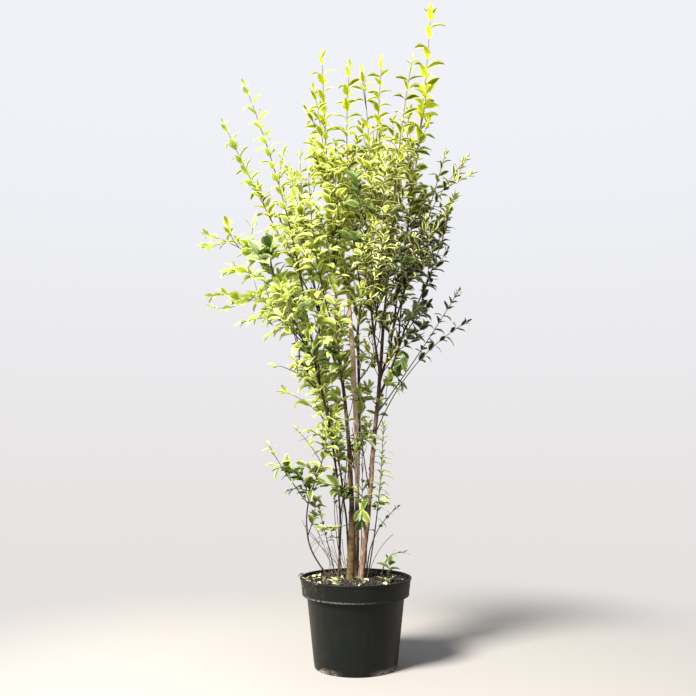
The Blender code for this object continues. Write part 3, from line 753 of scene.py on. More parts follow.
def bark_radii(path, steps, seed, flare):
    """Radii by ring and side. The radii read at even steps are joined up, then multiplied by a lobed
    flare that dies away above the foot, by a ring and two knobs at each pair of leaf scars, and by
    long ridges of noise."""
    run = np.concatenate(([0.0], np.cumsum(np.linalg.norm(np.diff(path, axis=0), axis=1))))[:, None]
    angle = (np.arange(BARK_SIDES) * TAU / BARK_SIDES)[None]
    taper = np.interp(run / run[-1], np.linspace(0.0, 1.0, len(steps)), steps)
    foot = np.exp(FLARE_FADE * run / FLARE_HEIGHT)
    lobes = 1 + flare * foot * sum((gain * np.cos(n * angle + turn * seed) for gain, n, turn in LOBES), 1)
    scar = run / SCAR_SPACING + SCAR_SHIFT * seed
    near = np.exp(-(((scar - np.round(scar)) * SCAR_SPACING / SCAR_REACH) ** 2))
    side = np.cos(angle - np.round(scar) * math.pi / 2) ** SCAR_SHARPNESS
    swell = 1 + near * (SCAR_SWELL[0] + SCAR_SWELL[1] * side)
    ridges = 1
    for gain, across, along, shift in RIDGES:
        place = np.broadcast_arrays(np.cos(angle) * across, np.sin(angle) * across, run * along)
        ridges = ridges + gain * (lattice_noise(np.stack(place, axis=-1), seed + shift) - 0.5)
    return taper * lobes * swell * ridges


def wander(path, reach, seed):
    """The path pushed aside by slow noise, which dies away at both of its ends."""
    share = np.linspace(0.0, 1.0, len(path))
    run = share * np.linalg.norm(path[-1] - path[0]) / SWAY_LENGTH
    still = np.zeros_like(run)
    sway = [lattice_noise(np.stack((run, still + row, still), axis=1), seed) - 0.5 for row in SWAY_ROWS]
    fade = np.sin(share * math.pi) * reach * 2
    return path + np.stack((sway[0] * fade, sway[1] * fade, still), axis=1)


print(f"stems: {len(STEMS)}, boughs: {len(BOUGHS)}")

# %% The bark's finishes
BARKS = {
    "mossy": ((50, 34, 20), (104, 72, 44), (56, 36, 24), (118, 80, 54), (0.50, 0.72)),
    "tan": ((66, 48, 35), (134, 106, 82), (212, 178, 158), (252, 226, 210), (0.44, 0.52)),
    "red": ((70, 50, 39), (138, 112, 93), (46, 32, 24), (98, 70, 52), (0.62, 0.85)),
    "dark": ((38, 28, 22), (74, 56, 43), (36, 27, 21), (70, 53, 41), (0.50, 0.72)),
}
STREAK_STRETCH = (1.0, 1.0, 0.16)
STREAK_LIMITS = (0.34, 0.68)
PORE_STRETCH = (0.7, 0.7, 1.6)
PORE_LIMITS = (0.68, 0.76)
MOSS_GREEN = paint(62, 52, 24)
MOSS_BRIGHT = paint(98, 86, 40)
MOSS_TOP = 0.42
MOSS_FADE = 0.10
MOSS_LIMITS = (0.38, 0.56)
TUFT_LIMITS = (0.40, 0.66)
CUT_WOOD = paint(226, 212, 184)


def bark_finish(kind):
    """Bark with streaks along the stem and pale pores across it, changing from its low to its high
    colours with height. The mossy one is green low down."""
    *colours, change = BARKS[kind]
    low_dark, low_light, high_dark, high_light = (paint(*colour) for colour in colours)
    finish, shader = new_finish(f"bark {kind}", low_light, roughness=0.82)
    place = object_place(finish)
    height = axes_of(finish, place)["Z"]
    higher = stepped(finish, height, *change)
    dark = mixed(finish, higher, low_dark, high_dark)
    light = mixed(finish, higher, low_light, high_light)
    streaks = noise(finish, object_place(finish, STREAK_STRETCH), 210.0)
    colour = mixed(finish, stepped(finish, streaks, *STREAK_LIMITS), dark, light)
    pores = noise(finish, object_place(finish, PORE_STRETCH), 330.0, 2.0)
    colour = mixed(finish, stepped(finish, pores, *PORE_LIMITS), colour, low_light)
    if kind == "mossy":
        low = stepped(finish, height, MOSS_TOP, MOSS_TOP - MOSS_FADE)
        patches = stepped(finish, noise(finish, place, 62.0), *MOSS_LIMITS)
        tufts = stepped(finish, noise(finish, place, 420.0, 3.0), *TUFT_LIMITS)
        moss = mixed(finish, tufts, MOSS_GREEN, MOSS_BRIGHT)
        colour = mixed(finish, times(finish, low, patches), colour, moss)
    feed(finish, shader.inputs["Base Color"], colour)
    bumped(finish, shader, streaks, strength=0.5, distance=0.0012)
    return finish


bark_finishes = {kind: bark_finish(kind) for kind in BARKS}
cut_finish = new_finish("cut wood", CUT_WOOD, roughness=0.8)[0]
print("barks:", ", ".join(BARKS))

# %% Make the stems
CUT_STEM = "cut_back_stem"
STEM_DEPTH = 0.012
STEM_SWAY = 0.0022

paths = {}
bark_of = {}
for number, (name, bark, foot, middle, top, radii) in enumerate(STEMS):
    foot = np.array((*metres(foot), SOIL_TOP - STEM_DEPTH))
    path = through(foot, metres(middle), metres(top), BARK_RING)
    paths[name] = path
    bark_of[name] = bark
    radii = bark_radii(path, np.array(radii) / TENTHS, number, FLARE - 1)
    body = Joined()
    body.add_rings(tube_points(wander(path, STEM_SWAY, number), radii))
    finishes = [bark_finishes[bark]]
    if name == CUT_STEM:
        body.slots[-1] = np.append(np.zeros(len(body.faces) - 1), 1)
        finishes.append(cut_finish)
    body.make(f"bark_{name}", finishes, [name])

# %% [markdown]
# ## The boughs
# A bough grows out of its stem through a thickened collar. Its path starts on the axis of the
# stem, so the two barks meet with no gap, and its radius swells where it comes out.

# %% Make the boughs
COLLAR_SWELL = 0.5


def point_on(path, share):
    """The point a share of the way along a path, between its two nearest points."""
    step = min(share, 1.0) * (len(path) - 1)
    index = min(int(step), len(path) - 2)
    return path[index] + (path[index + 1] - path[index]) * (step - index)


for number, (name, parent, at, middle, top) in enumerate(BOUGHS, len(STEMS)):
    path = through(point_on(paths[parent], at), metres(middle), metres(top), BARK_RING)
    paths[name] = path
    bark = bark_of[name] = bark_of[parent]
    swell = COLLAR_SWELL if at < 1.0 else 0.0
    body = Joined()
    body.add_rings(tube_points(path, bark_radii(path, BOUGH_RADII, number, swell)))
    body.make(f"bark_{name}", [bark_finishes[bark]], [name])

# %% [markdown]
# ## The shoots
# Each long shoot is one arc, from its bough to its tip. Side twigs leave it in opposite pairs,
# each pair a quarter turn on from the last, and lift to the light. Longer side twigs branch once
# more by the same rule. An arc is a quadratic curve: its foot, its tip and one control point that
# pulls it, which makes points and directions simple sums. A shoot's bend is a point on its way,
# or how far it bows, as a share of its length.

# %% The shoots
Shoot = namedtuple("Shoot", "name parent at tip bend leafy_from buds reach leaf", defaults=("plain",))
SOIL = "soil"
SHOOTS = [Shoot(*row) for row in (
    ("foliage_top_left", "centre_bough", 1.0, (-103, -60, 1840), (-84, -52, 1435), 0.0, 0.45, 200),
    ("foliage_top_left_low", "centre_bough", 0.6, (-128, -80, 1715), (-84, -75, 1420), 0.1, 0.5, 170),
    ("foliage_top_middle", "rear_bough", 0.7, (-16, 60, 1860), (-22, 81, 1480), 0.1, 0.35, 160),
    ("foliage_top_front", "right_inner_bough", 1.0, (23, -100, 1735), (46, -84, 1398), 0.0, 0.45, 190),
    ("foliage_top_rear", "rear_bough", 1.0, (91, 150, 1930), (67, 131, 1564), 0.0, 0.45, 180),
    ("foliage_top_right", "right_middle_bough", 1.0, (175, -80, 1810), (126, -62, 1469), 0.0, 0.34, 170),
    ("foliage_tallest", "right_rear_bough", 1.0, (246, 30, 2030), (199, 30, 1570), 0.0, 0.3, 160, "tall"),
    (
        "foliage_right_rear_tip", "right_rear_bough", 0.7, (302, 130, 1595), (210, 79, 1291),
        0.1, 0.5, 170, "slender",
    ),
    (
        "foliage_right_front_tip", "right_outer_bough", 0.75, (341, -100, 1490), (177, -69, 1211),
        0.1, 0.45, 160, "slender",
    ),
    (
        "foliage_right_tip", "right_outer_bough", 1.0, (297, -30, 1385), (236, -34, 1172),
        0.0, 0.35, 150, "slender",
    ),
    ("foliage_left_long", "left_high_bough", 1.0, (-424, 50, 1660), (-275, 35, 1353), 0.0, 0.16, 150),
    ("foliage_left_rear_high", "left_high_bough", 0.7, (-181, 150, 1595), (-152, 78, 1276), 0.1, 0.55, 150),
    ("foliage_left_high", "left_front_bough", 1.0, (-339, -100, 1720), (-218, -85, 1361), 0.0, 0.18, 150),
    (
        "foliage_left_reaching", "left_front_bough", 0.75, (-455, -100, 1250), (-247, -84, 1134),
        0.1, 0.65, 130,
    ),
    ("foliage_left_front_low", "left_stem", 0.95, (-367, -180, 1140), (-163, -116, 998), 0.1, 0.7, 130),
    ("foliage_left_rear_low", "left_rear_bough", 1.0, (-475, 100, 1095), (-315, 87, 1087), 0.0, 0.5, 110),
    ("foliage_left_level", "left_low_bough", 1.0, (-360, -20, 990), (-192, -4, 978), 0.0, 0.7, 110),
    ("foliage_left_under", "left_low_bough", 0.4, (-245, -70, 865), -0.08, 0.2, 0.4, 90),
    ("foliage_left_under_rear", "inner_left_stem", 0.74, (-235, 100, 800), -0.08, 0.4, 0.5, 90),
    (
        "foliage_right_arch_front", "right_stem", 0.64, (311, -70, 1095), (190, -45, 904),
        0.5, 0.22, 80, "slender",
    ),
    (
        "foliage_right_arch_rear", "right_stem", 0.56, (362, 80, 1020), (187, 30, 875),
        0.55, 0.22, 70, "slender",
    ),
    ("foliage_front_left", "centre_bough", 0.25, (-130, -300, 1380), 0.12, 0.1, 0.5, 170),
    ("foliage_front_left_low", "left_front_bough", 0.3, (-190, -220, 1070), 0.1, 0.1, 0.55, 150),
    ("foliage_front_low", "main_stem", 0.82, (-60, -220, 1100), 0.12, 0.1, 0.5, 150),
    ("foliage_front_right", "right_inner_bough", 0.5, (75, -300, 1420), 0.12, 0.1, 0.5, 170),
    ("foliage_front_side", "right_middle_bough", 0.3, (200, -200, 1280), 0.12, 0.1, 0.4, 150),
    ("foliage_back_left", "left_rear_bough", 0.5, (-200, 270, 1330), 0.12, 0.1, 0.5, 170),
    ("foliage_back_middle", "rear_bough", 0.3, (-50, 300, 1500), 0.12, 0.1, 0.5, 180),
    ("foliage_back_right", "rear_bough", 0.5, (140, 290, 1440), 0.12, 0.1, 0.5, 180),
    ("foliage_back_side", "right_rear_bough", 0.4, (250, 210, 1260), 0.12, 0.1, 0.35, 150),
    ("foliage_back_low_left", "inner_left_stem", 0.9, (-140, 220, 1020), 0.12, 0.1, 0.5, 130),
    ("foliage_back_low_right", "rear_stem", 0.8, (90, 230, 1060), 0.12, 0.1, 0.5, 140),
    ("foliage_among_stems_left", "left_stem", 0.3, (-20, -60, 710), 0.04, 0.35, 0.5, 110),
    ("foliage_among_stems_middle", "right_stem", 0.34, (12, -55, 780), 0.04, 0.4, 0.4, 90),
    ("shoot_right", SOIL, (30, -36), (80, -58, 700), (68, -50, 500), 0.45, 0.3, 40, "narrow"),
    ("shoot_right_bare", SOIL, (34, 26), (138, 50, 455), (52, 32, 345), 0.58, 0.4, 30, "short"),
    ("sprout_right", SOIL, (74, -16), (158, -50, 322), (104, -30, 312), 0.35, 0.0, 10, "thin"),
    ("shoot_left_tip", "left_sucker", 1.0, (-85, -70, 700), 0.06, 0.0, 0.5, 130),
    ("shoot_left_side", "left_sucker", 0.8, (-258, -80, 645), 0.02, 0.0, 0.0, 70, "sparse"),
    ("shoot_left_rear", SOIL, (-56, 40), (-112, 40, 455), (-84, 40, 345), 0.5, 0.0, 0, "short"),
    ("dry_twigs_left", SOIL, (-40, -36), (-165, -45, 420), -0.04, 1.0, 0.5, 100),
)]
SHOOT_DEPTH = 0.008
LEADER_RADIUS = 0.0032
LEADER_LEAST = 0.25
LEADER_GAIN = 3.75
LEADER_TIP_RADIUS = 0.0009
SOIL_SHOOT_RADIUS = 0.0022
DRY_RADIUS = 0.0011
TIP_REACH = 0.018
NEARLY_UPRIGHT = 0.9
CHORDS = 12

Twig = namedtuple("Twig", "shoot foot control tip radii leafy_from order leaf")


def bow_control(foot, tip, bow):
    """The control point of an arc that sags, or arches over, in the upright plane it leans in."""
    along = tip - foot
    sag = -UP + along * (along[2] / np.dot(along, along))
    return (foot + tip) / 2 + unit(sag) * (2 * bow * np.linalg.norm(along))


def control_through(foot, way, tip):
    """The control point of the arc that passes a point on its way, where the chord lengths put it."""
    first = np.linalg.norm(way - foot)
    t = first / (first + np.linalg.norm(tip - way))
    return (way - foot * (1 - t) ** 2 - tip * t**2) / (2 * t * (1 - t))


def arc_points(twig, shares):
    """Points of the twig's arc: foot, control and tip weighted by the squares of the shares."""
    t = np.asarray(shares)[:, None]
    return twig.foot * (1 - t) ** 2 + twig.control * (2 * t * (1 - t)) + twig.tip * t**2


def arc_headings(twig, shares):
    """Directions along the arc, from the change of its points with the share."""
    t = np.asarray(shares)[:, None]
    return unit((twig.control - twig.foot) * (1 - t) + (twig.tip - twig.control) * t)


def arc_length(twig):
    """The length of the arc, as the sum of its short chords."""
    chords = np.diff(arc_points(twig, np.linspace(0, 1, CHORDS + 1)), axis=0)
    return float(np.linalg.norm(chords, axis=1).sum())


def around(headings, angles):
    """Unit vectors square to each heading, turned about it by an angle from a fixed side."""
    side = np.where(np.abs(headings[:, 2:]) < NEARLY_UPRIGHT, UP, (1.0, 0.0, 0.0))
    across = unit(np.cross(headings, side))
    other = np.cross(headings, across)
    return across * np.cos(angles)[:, None] + other * np.sin(angles)[:, None]


def leader_of(shoot):
    """The shoot's own stem, from the axis of its parent, or from the soil, to just under its tip."""
    tip = metres(shoot.tip)
    if shoot.parent == SOIL:
        foot = np.array((*metres(shoot.at), SOIL_TOP - SHOOT_DEPTH))
        thickness = DRY_RADIUS if shoot.leafy_from == 1.0 else SOIL_SHOOT_RADIUS
    else:
        foot = point_on(paths[shoot.parent], shoot.at)
        thickness = LEADER_RADIUS * (LEADER_LEAST + LEADER_GAIN * (shoot.reach / MILLIMETRES))
    if isinstance(shoot.bend, tuple):
        control = control_through(foot, metres(shoot.bend), tip)
    else:
        control = bow_control(foot, tip, shoot.bend)
    end = tip - unit(tip - control) * TIP_REACH
    radii = (thickness, LEADER_TIP_RADIUS)
    return Twig(shoot, foot, control, end, radii, shoot.leafy_from, 0, shoot.leaf)


print(f"shoots: {len(SHOOTS)} to grow")

# %% Side twigs
SIDE_RADII = (0.0019, 0.0008)
SIDE_ANGLE = math.radians(36)
SIDE_LIFT = 0.48
SIDE_SAG = 0.05
SIDE_TAPER = 0.65
SIDE_LENGTHS = (0.55, 1.15)
SIDE_TURN = 0.35
SIDE_LEAFY_FROM = 0.1
SHORTEST_SIDE = 0.025
BUD_SPACING = 0.045
FINE_RADII = (0.0011, 0.0006)
FINE_SHARE = 0.50
FINE_PARENT = 0.090
FINE_BUDS = 0.40
FINE_RUN = (0.15, 0.7)


def branches(parent, reach, buds, run, radii, order, chance):
    """Side twigs from buds in opposite pairs over a run of the parent, each pair a quarter turn on.
    A share of the buds break. A twig shortens with the share of the way up, and its tip is lifted."""
    first, last = run
    count = int(arc_length(parent) * (last - first) / BUD_SPACING)
    if count < 1 or reach <= 0:
        return []
    shares = np.repeat(first + (last - first) * (np.arange(count) + chance.random()) / count, 2)
    pairs = np.repeat(np.arange(count), 2)
    halves = np.tile((0.0, math.pi), count)
    angles = chance.random() * TAU + pairs * math.pi / 2 + halves
    angles = angles + chance.uniform(-SIDE_TURN, SIDE_TURN, 2 * count)
    lengths = reach * (1 - SIDE_TAPER * shares) * chance.uniform(*SIDE_LENGTHS, 2 * count)
    breaks = (chance.random(2 * count) < buds) & (lengths > SHORTEST_SIDE)
    feet = arc_points(parent, shares)
    headings = arc_headings(parent, shares)
    aims = headings * math.cos(SIDE_ANGLE) + around(headings, angles) * math.sin(SIDE_ANGLE)
    tips = feet + aims * (lengths * (1 - SIDE_LIFT / 2))[:, None] + UP * (lengths * SIDE_LIFT)[:, None]
    grown = []
    for foot, tip in zip(feet[breaks], tips[breaks]):
        control = bow_control(foot, tip, SIDE_SAG)
        grown.append(Twig(parent.shoot, foot, control, tip, radii, SIDE_LEAFY_FROM, order, parent.leaf))
    return grown


def with_fine(sides, chance):
    """Side twigs and the fine twigs that the longer ones bear."""
    grown = list(sides)
    for side in sides:
        length = arc_length(side)
        if length > FINE_PARENT:
            grown += branches(side, length * FINE_SHARE, FINE_BUDS, FINE_RUN, FINE_RADII, 2, chance)
    return grown


print(f"side twigs: a bud pair every {BUD_SPACING * MILLIMETRES:.0f} mm")

# %% Grow the shoots
SHOOT_SEEDS = 100
SIDES_START = 0.06
SIDES_END = 0.58

twigs = []
for number, shoot in enumerate(SHOOTS):
    chance = np.random.default_rng(SHOOT_SEEDS + number)
    leader = leader_of(shoot)
    run = (max(shoot.leafy_from, SIDES_START), SIDES_END)
    sides = branches(leader, shoot.reach / MILLIMETRES, shoot.buds, run, SIDE_RADII, 1, chance)
    twigs += [leader, *with_fine(sides, chance)]
print(f"shoots: {len(twigs)} twigs")

# %% [markdown]
# ## Spurs on the old wood
# Light reaches the stems from the sides, so short leafy spurs break from them too, from knee
# height upwards. They are what closes the plant's middle. They follow the same rule as the side
# twigs, along a run of each limb's own path. Each row gives the limb, the start and end of the
# run, the share of buds that break, and the reach of a spur in metres.

# %% Grow the spurs
SPURS = (
    ("left_stem", 0.45, 1.0, 0.42, 0.12),
    ("inner_left_stem", 0.45, 1.0, 0.42, 0.13),
    ("main_stem", 0.36, 1.0, 0.3, 0.1),
    ("cut_back_stem", 0.4, 0.6, 0.2, 0.08),
    ("rear_stem", 0.35, 1.0, 0.26, 0.11),
    ("right_stem", 0.36, 0.75, 0.22, 0.09),
    ("left_sucker", 0.5, 1.0, 0.3, 0.1),
    ("left_high_bough", 0.0, 1.0, 0.5, 0.14),
    ("left_front_bough", 0.0, 1.0, 0.55, 0.14),
    ("left_rear_bough", 0.0, 1.0, 0.5, 0.14),
    ("left_low_bough", 0.0, 1.0, 0.5, 0.12),
    ("centre_bough", 0.0, 1.0, 0.42, 0.13),
    ("rear_bough", 0.2, 1.0, 0.36, 0.13),
    ("right_inner_bough", 0.5, 1.0, 0.3, 0.12),
    ("right_middle_bough", 0.0, 1.0, 0.36, 0.12),
    ("right_rear_bough", 0.4, 1.0, 0.36, 0.12),
    ("right_outer_bough", 0.4, 1.0, 0.36, 0.11),
)
SPUR_SEEDS = 300

spur_start = len(twigs)
for number, (name, first, last, buds, reach) in enumerate(SPURS):
    chance = np.random.default_rng(SPUR_SEEDS + number)
    low, middle, high = (point_on(paths[name], share) for share in (first, (first + last) / 2, last))
    limb = Twig(None, low, 2 * middle - (low + high) / 2, high, SIDE_RADII, 0.0, 0, "plain")
    twigs += with_fine(branches(limb, reach, buds, (0.0, 1.0), SIDE_RADII, 1, chance), chance)
print(f"spurs: {len(twigs) - spur_start} twigs")

# %% [markdown]
# ## Twigs placed one by one
# Some growth is particular to this plant: bare old twigs that fan out round its foot, a fresh
# sprout by the rim, leafy twigs low down and at the crown's edge, and sprays of broad bluish
# leaves that stand out from it. Each is given by its foot, a point on its way and its tip, with
# its radius in tenths of a millimetre. The points of a twig that is set are in millimetres. Those
# of a twig that is seen are pixels of the photograph, counted from the left and from the top,
# each with a given depth in millimetres, and the solved camera turns them into places. Most
# follow a twig that shows, and a few fill the crown where it looked too open. A foot that isn't
# in the soil is moved to the nearest wood, so that every twig grows out of something.

# %% The twigs placed one by one
Traced = namedtuple("Traced", "given foot way tip radius leafy_from reach leaf", defaults=(0.1, 0, "read"))
TRACED = (
    ("set", (-6, 0, 230), (-75, -10, 310), (-135, -30, 375), 9, 1.0, 0, "plain"),
    ("seen", (309, 534, -30), (305, 527, -30), (302, 520, -30), 7, 1.0, 0, "plain"),
    ("seen", (316, 543, -20), (320, 536, -20), (326, 533, -20), 7, 1.0, 0, "plain"),
    ("set", (-36, 20, 230), (-73, 20, 321), (-87, 20, 350), 7, 1.0, 0, "plain"),
    ("set", (-22, 10, 230), (-43, 10, 319), (-52, 10, 365), 7, 1.0, 0, "plain"),
    ("set", (-84, 30, 230), (-79, 30, 308), (-85, 30, 331), 7, 1.0, 0, "plain"),
    ("set", (-36, -10, 230), (-57, -10, 305), (-72, -10, 339), 7, 1.0, 0, "plain"),
    ("seen", (321, 549, -10), (320, 536, 0), (311, 523, 0), 7, 1.0, 0, "plain"),
    ("set", (-48, 30, 430), (-58, 30, 453), (-67, 30, 477), 7, 1.0, 0, "plain"),
    ("set", (-30, 0, 230), (-58, 0, 318), (-72, 0, 380), 7, 1.0, 0, "plain"),
    ("set", (-18, 20, 230), (-36, 20, 318), (-40, 20, 356), 8, 1.0, 0, "plain"),
    ("set", (-62, 10, 230), (-86, 10, 320), (-112, 0, 378), 7, 1.0, 0, "plain"),
    ("set", (-4, -20, 230), (-30, -30, 290), (-52, -30, 316), 8, 1.0, 0, "plain"),
    ("set", (-88, 40, 352), (-76, 30, 360), (-60, 20, 360), 8, 0.1, 0, "small"),
    ("set", (-55, 30, 230), (-50, 30, 360), (-66, 30, 500), 14, 0.8, 0, "small"),
    ("set", (-6, 40, 230), (-26, 50, 400), (-44, 60, 560), 15, 0.85, 0, "small"),
    ("set", (30, 30, 230), (36, 40, 400), (44, 50, 560), 14, 0.7, 0, "small"),
    ("set", (10, 50, 230), (6, 50, 420), (1, 50, 600), 16, 0.85, 0, "small"),
    ("set", (-128, -20, 338), (-112, -20, 352), (-92, -20, 356), 7, 1.0, 0, "plain"),
    ("set", (-30, 20, 230), (-60, 20, 400), (-62, 20, 545), 12, 0.7, 0, "plain"),
    ("set", (-43, -10, 230), (-36, -20, 455), (-11, -40, 602), 14, 0.6, 60, "plain"),
    ("set", (12, 0, 230), (20, 0, 560), (19, 0, 735), 15, 0.45, 60, "plain"),
    ("set", (37, 50, 230), (67, 50, 314), (113, 60, 365), 10, 1.0, 0, "plain"),
    ("set", (84, -50, 230), (88, -55, 252), (96, -60, 290), 16, 0.0, 40, "hanging"),
    ("set", (34, -20, 420), (28, -50, 450), (24, -70, 475), 14, 0.1, 30, "hanging"),
    ("seen", (250, 256, -100), (252, 240, -100), (253, 221, -100), 14, 0.1, 0, "lime"),
    ("seen", (238, 249, -100), (233, 240, -100), (229, 227, -100), 14, 0.1, 0, "lime"),
    ("seen", (258, 262, -80), (246, 250, -70), (240, 243, -60), 12),
    ("seen", (279, 178, -90), (281, 166, -100), (284, 152, -100), 12, 0.1, 20),
    ("seen", (304, 205, 120), (297, 190, 120), (290, 172, 120), 14, 0.1, 40),
    ("seen", (306, 215, 100), (313, 195, 80), (312, 172, 60), 14, 0.1, 40),
    ("seen", (290, 232, -30), (279, 225, -50), (272, 228, -60), 12, 0.2),
    ("seen", (338, 262, 50), (326, 240, 40), (319, 215, 30), 16, 0.1, 50),
    ("seen", (336, 285, -40), (325, 268, -70), (318, 245, -90), 16, 0.1, 50),
    ("seen", (440, 200, 50), (455, 180, 20), (463, 162, 0), 13, 0.1, 30, "slender"),
    ("seen", (428, 232, -50), (438, 228, -50), (448, 215, -40), 12),
    ("seen", (384, 372, -20), (391, 360, -30), (397, 338, -40), 16, 0.15, 50),
    ("seen", (381, 392, -20), (388, 383, -40), (397, 388, -50), 14, 0.1, 30),
    ("seen", (379, 345, -20), (372, 330, -40), (364, 310, -50), 18, 0.3, 50, "small"),
    ("seen", (377, 380, -10), (372, 362, -20), (366, 345, -30), 12, 0.3, 40),
    ("seen", (384, 345, 30), (389, 332, 30), (392, 318, 40), 14, 0.1, 50),
    ("seen", (400, 352, -30), (406, 345, -40), (418, 338, -50), 14, 0.1, 40),
    ("seen", (410, 345, 20), (416, 333, 30), (425, 325, 40), 12, 0.1, 30),
    ("seen", (392, 372, 30), (396, 376, 30), (402, 384, 20), 10),
    ("seen", (362, 410, 40), (360, 375, 50), (357, 340, 60), 13, 0.2, 40, "small"),
    ("set", (-11, -30, 985), (4, -50, 1040), (20, -60, 1090), 10, 0.3, 0, "lime"),
    ("seen", (352, 308, -60), (362, 297, -90), (374, 290, -100), 12, 0.2, 0, "lime"),
    ("seen", (342, 340, -60), (345, 328, -80), (338, 316, -90), 12, 0.2, 0, "lime"),
    ("seen", (311, 498, -50), (308, 485, -70), (298, 474, -90), 14, 0.1, 40, "large"),
    ("seen", (309, 500, -40), (302, 489, -60), (287, 491, -70), 11, 0.1, 0, "short"),
    ("set", (-190, -60, 525), (-196, -70, 560), (-216, -90, 570), 12, 0.1, 0, "large"),
    ("set", (-138, -40, 480), (-160, -70, 537), (-183, -80, 560), 12, 0.1, 0, "large"),
    ("set", (68, -30, 960), (84, -50, 1010), (102, -60, 1052), 12, 0.1, 40),
    ("set", (92, -30, 760), (90, -50, 790), (96, -70, 822), 12, 0.1, 30),
    ("seen", (316, 477, -50), (312, 470, -60), (303, 465, -70), 10),
    ("seen", (321, 463, -60), (311, 446, -60), (296, 429, -70), 12, 0.1, 0, "small"),
    ("seen", (344, 494, -40), (333, 485, -70), (318, 482, -90), 13),
    ("seen", (346, 524, -20), (337, 527, -40), (325, 528, -50), 11, 0.2, 0, "sprout"),
    ("set", (30, -30, 481), (18, -60, 466), (15, -70, 420), 12, 0.2, 0, "hanging"),
    ("seen", (368, 510, -30), (374, 505, -50), (380, 503, -60), 10, 0.2, 0, "sprout"),
    ("seen", (353, 475, -20), (354, 462, -40), (356, 448, -50), 10),
    ("seen", (360, 450, -10), (362, 440, -30), (368, 438, -40), 10, 0.1, 0, "broad"),
    ("seen", (275, 288, -100), (272, 270, -130), (270, 248, -150), 18, 0.2, 50, "rounded"),
    ("seen", (266, 284, -100), (263, 268, -120), (259, 256, -140), 16, 0.2, 40, "rounded"),
    ("seen", (328, 297, -140), (316, 301, -170), (302, 308, -180), 14, 0.1, 0, "broad"),
    ("seen", (362, 214, -140), (358, 198, -180), (356, 182, -200), 16, 0.2, 0, "dull"),
    ("seen", (366, 250, -120), (360, 243, -160), (352, 238, -180), 14, 0.1, 0, "dull"),
    ("seen", (388, 282, -100), (396, 272, -140), (402, 265, -160), 14, 0.1, 0, "broad"),
    ("seen", (400, 330, -50), (406, 322, -80), (413, 314, -90), 14, 0.1, 30, "broad"),
    ("set", (-100, -90, 842), (-110, -120, 867), (-122, -140, 888), 16, 0.2, 30, "broad"),
    ("set", (-75, -100, 850), (-80, -130, 872), (-82, -150, 898), 16, 0.2, 0, "dull"),
    ("set", (30, -100, 1620), (28, -100, 1660), (20, -100, 1740), 14, 0.3, 0, "lime"),
    ("set", (-140, -100, 1000), (-150, -140, 1010), (-165, -170, 1000), 13, 0.1, 30, "lime"),
    ("set", (-110, -100, 960), (-120, -140, 975), (-135, -170, 955), 13, 0.1, 30, "lime"),
    ("set", (-105, -100, 920), (-95, -140, 935), (-85, -170, 925), 13, 0.1, 30, "lime"),
    ("seen", (405, 190, -20), (408, 160, -20), (409, 112, -20), 18, 0.1, 30),
    ("seen", (398, 178, 50), (396, 150, 50), (393, 122, 50), 16, 0.1, 30),
    ("seen", (344, 385, -20), (340, 372, -50), (338, 358, -70), 12, 0.1, 30),
    ("seen", (346, 405, -10), (341, 398, -30), (335, 392, -50), 12, 0.1, 30),
    ("seen", (363, 410, 0), (366, 398, -20), (370, 388, -40), 12, 0.1, 30),
    ("seen", (362, 415, 0), (360, 402, -20), (357, 392, -40), 12, 0.1, 20),
    ("seen", (378, 400, -20), (371, 396, -40), (366, 388, -50), 12, 0.1, 20),
    ("seen", (357, 345, 50), (357, 332, 40), (361, 318, 30), 12, 0.1, 30),
    ("seen", (402, 350, -50), (404, 356, -60), (401, 364, -70), 10, 0.2, 0, "hanging"),
    ("set", (-305, 80, 1073), (-363, 90, 1088), (-422, 100, 1115), 12),
    ("set", (-330, 80, 1083), (-376, 90, 1066), (-455, 100, 1066), 12, 0.1, 0, "slender"),
    ("seen", (275, 305, 0), (266, 312, -20), (255, 318, -40), 13, 0.1, 30),
    ("seen", (268, 222, 45), (264, 205, 45), (258, 188, 45), 13, 0.1, 20),
    ("seen", (320, 440, -20), (314, 432, -50), (308, 430, -70), 13, 0.1, 20),
    ("seen", (330, 470, 0), (322, 466, -30), (314, 468, -50), 12, 0.1, 20),
    ("seen", (387, 208, -30), (386, 196, -40), (384, 178, -40), 13, 0.1, 30),
    ("seen", (416, 158, 20), (421, 140, 10), (428, 122, 10), 12),
    ("seen", (446, 222, -50), (450, 208, -60), (455, 192, -60), 12, 0.1, 30, "slender"),
    ("seen", (436, 272, -20), (440, 262, -30), (447, 250, -30), 12, 0.1, 20, "slender"),
    ("seen", (292, 330, -40), (283, 328, -60), (272, 333, -70), 12),
    ("seen", (340, 392, -20), (344, 378, -40), (348, 358, -50), 12, 0.1, 20),
    ("seen", (268, 200, 40), (262, 194, 30), (254, 186, 30), 12),
    ("seen", (316, 130, -80), (312, 120, -90), (306, 108, -90), 12),
    ("seen", (340, 240, -100), (336, 190, -140), (332, 152, -160), 20, 0.1, 90, "plain"),
    ("seen", (378, 260, -100), (384, 200, -150), (387, 150, -180), 20, 0.1, 110, "plain"),
    ("seen", (318, 270, -90), (303, 220, -130), (291, 172, -150), 20, 0.1, 90, "plain"),
    ("seen", (352, 240, 130), (350, 185, 180), (352, 150, 200), 20, 0.1, 90, "plain"),
    ("seen", (384, 265, 120), (392, 215, 180), (398, 165, 210), 20, 0.1, 110, "plain"),
    ("seen", (415, 290, 80), (434, 250, 120), (448, 208, 150), 18, 0.1, 80, "slender"),
    ("seen", (306, 282, 100), (292, 230, 150), (283, 190, 180), 18, 0.1, 80, "plain"),
    ("set", (-300, -160, 1111), (-328, -170, 1123), (-356, -180, 1118), 12, 0.1, 0, "lime"),
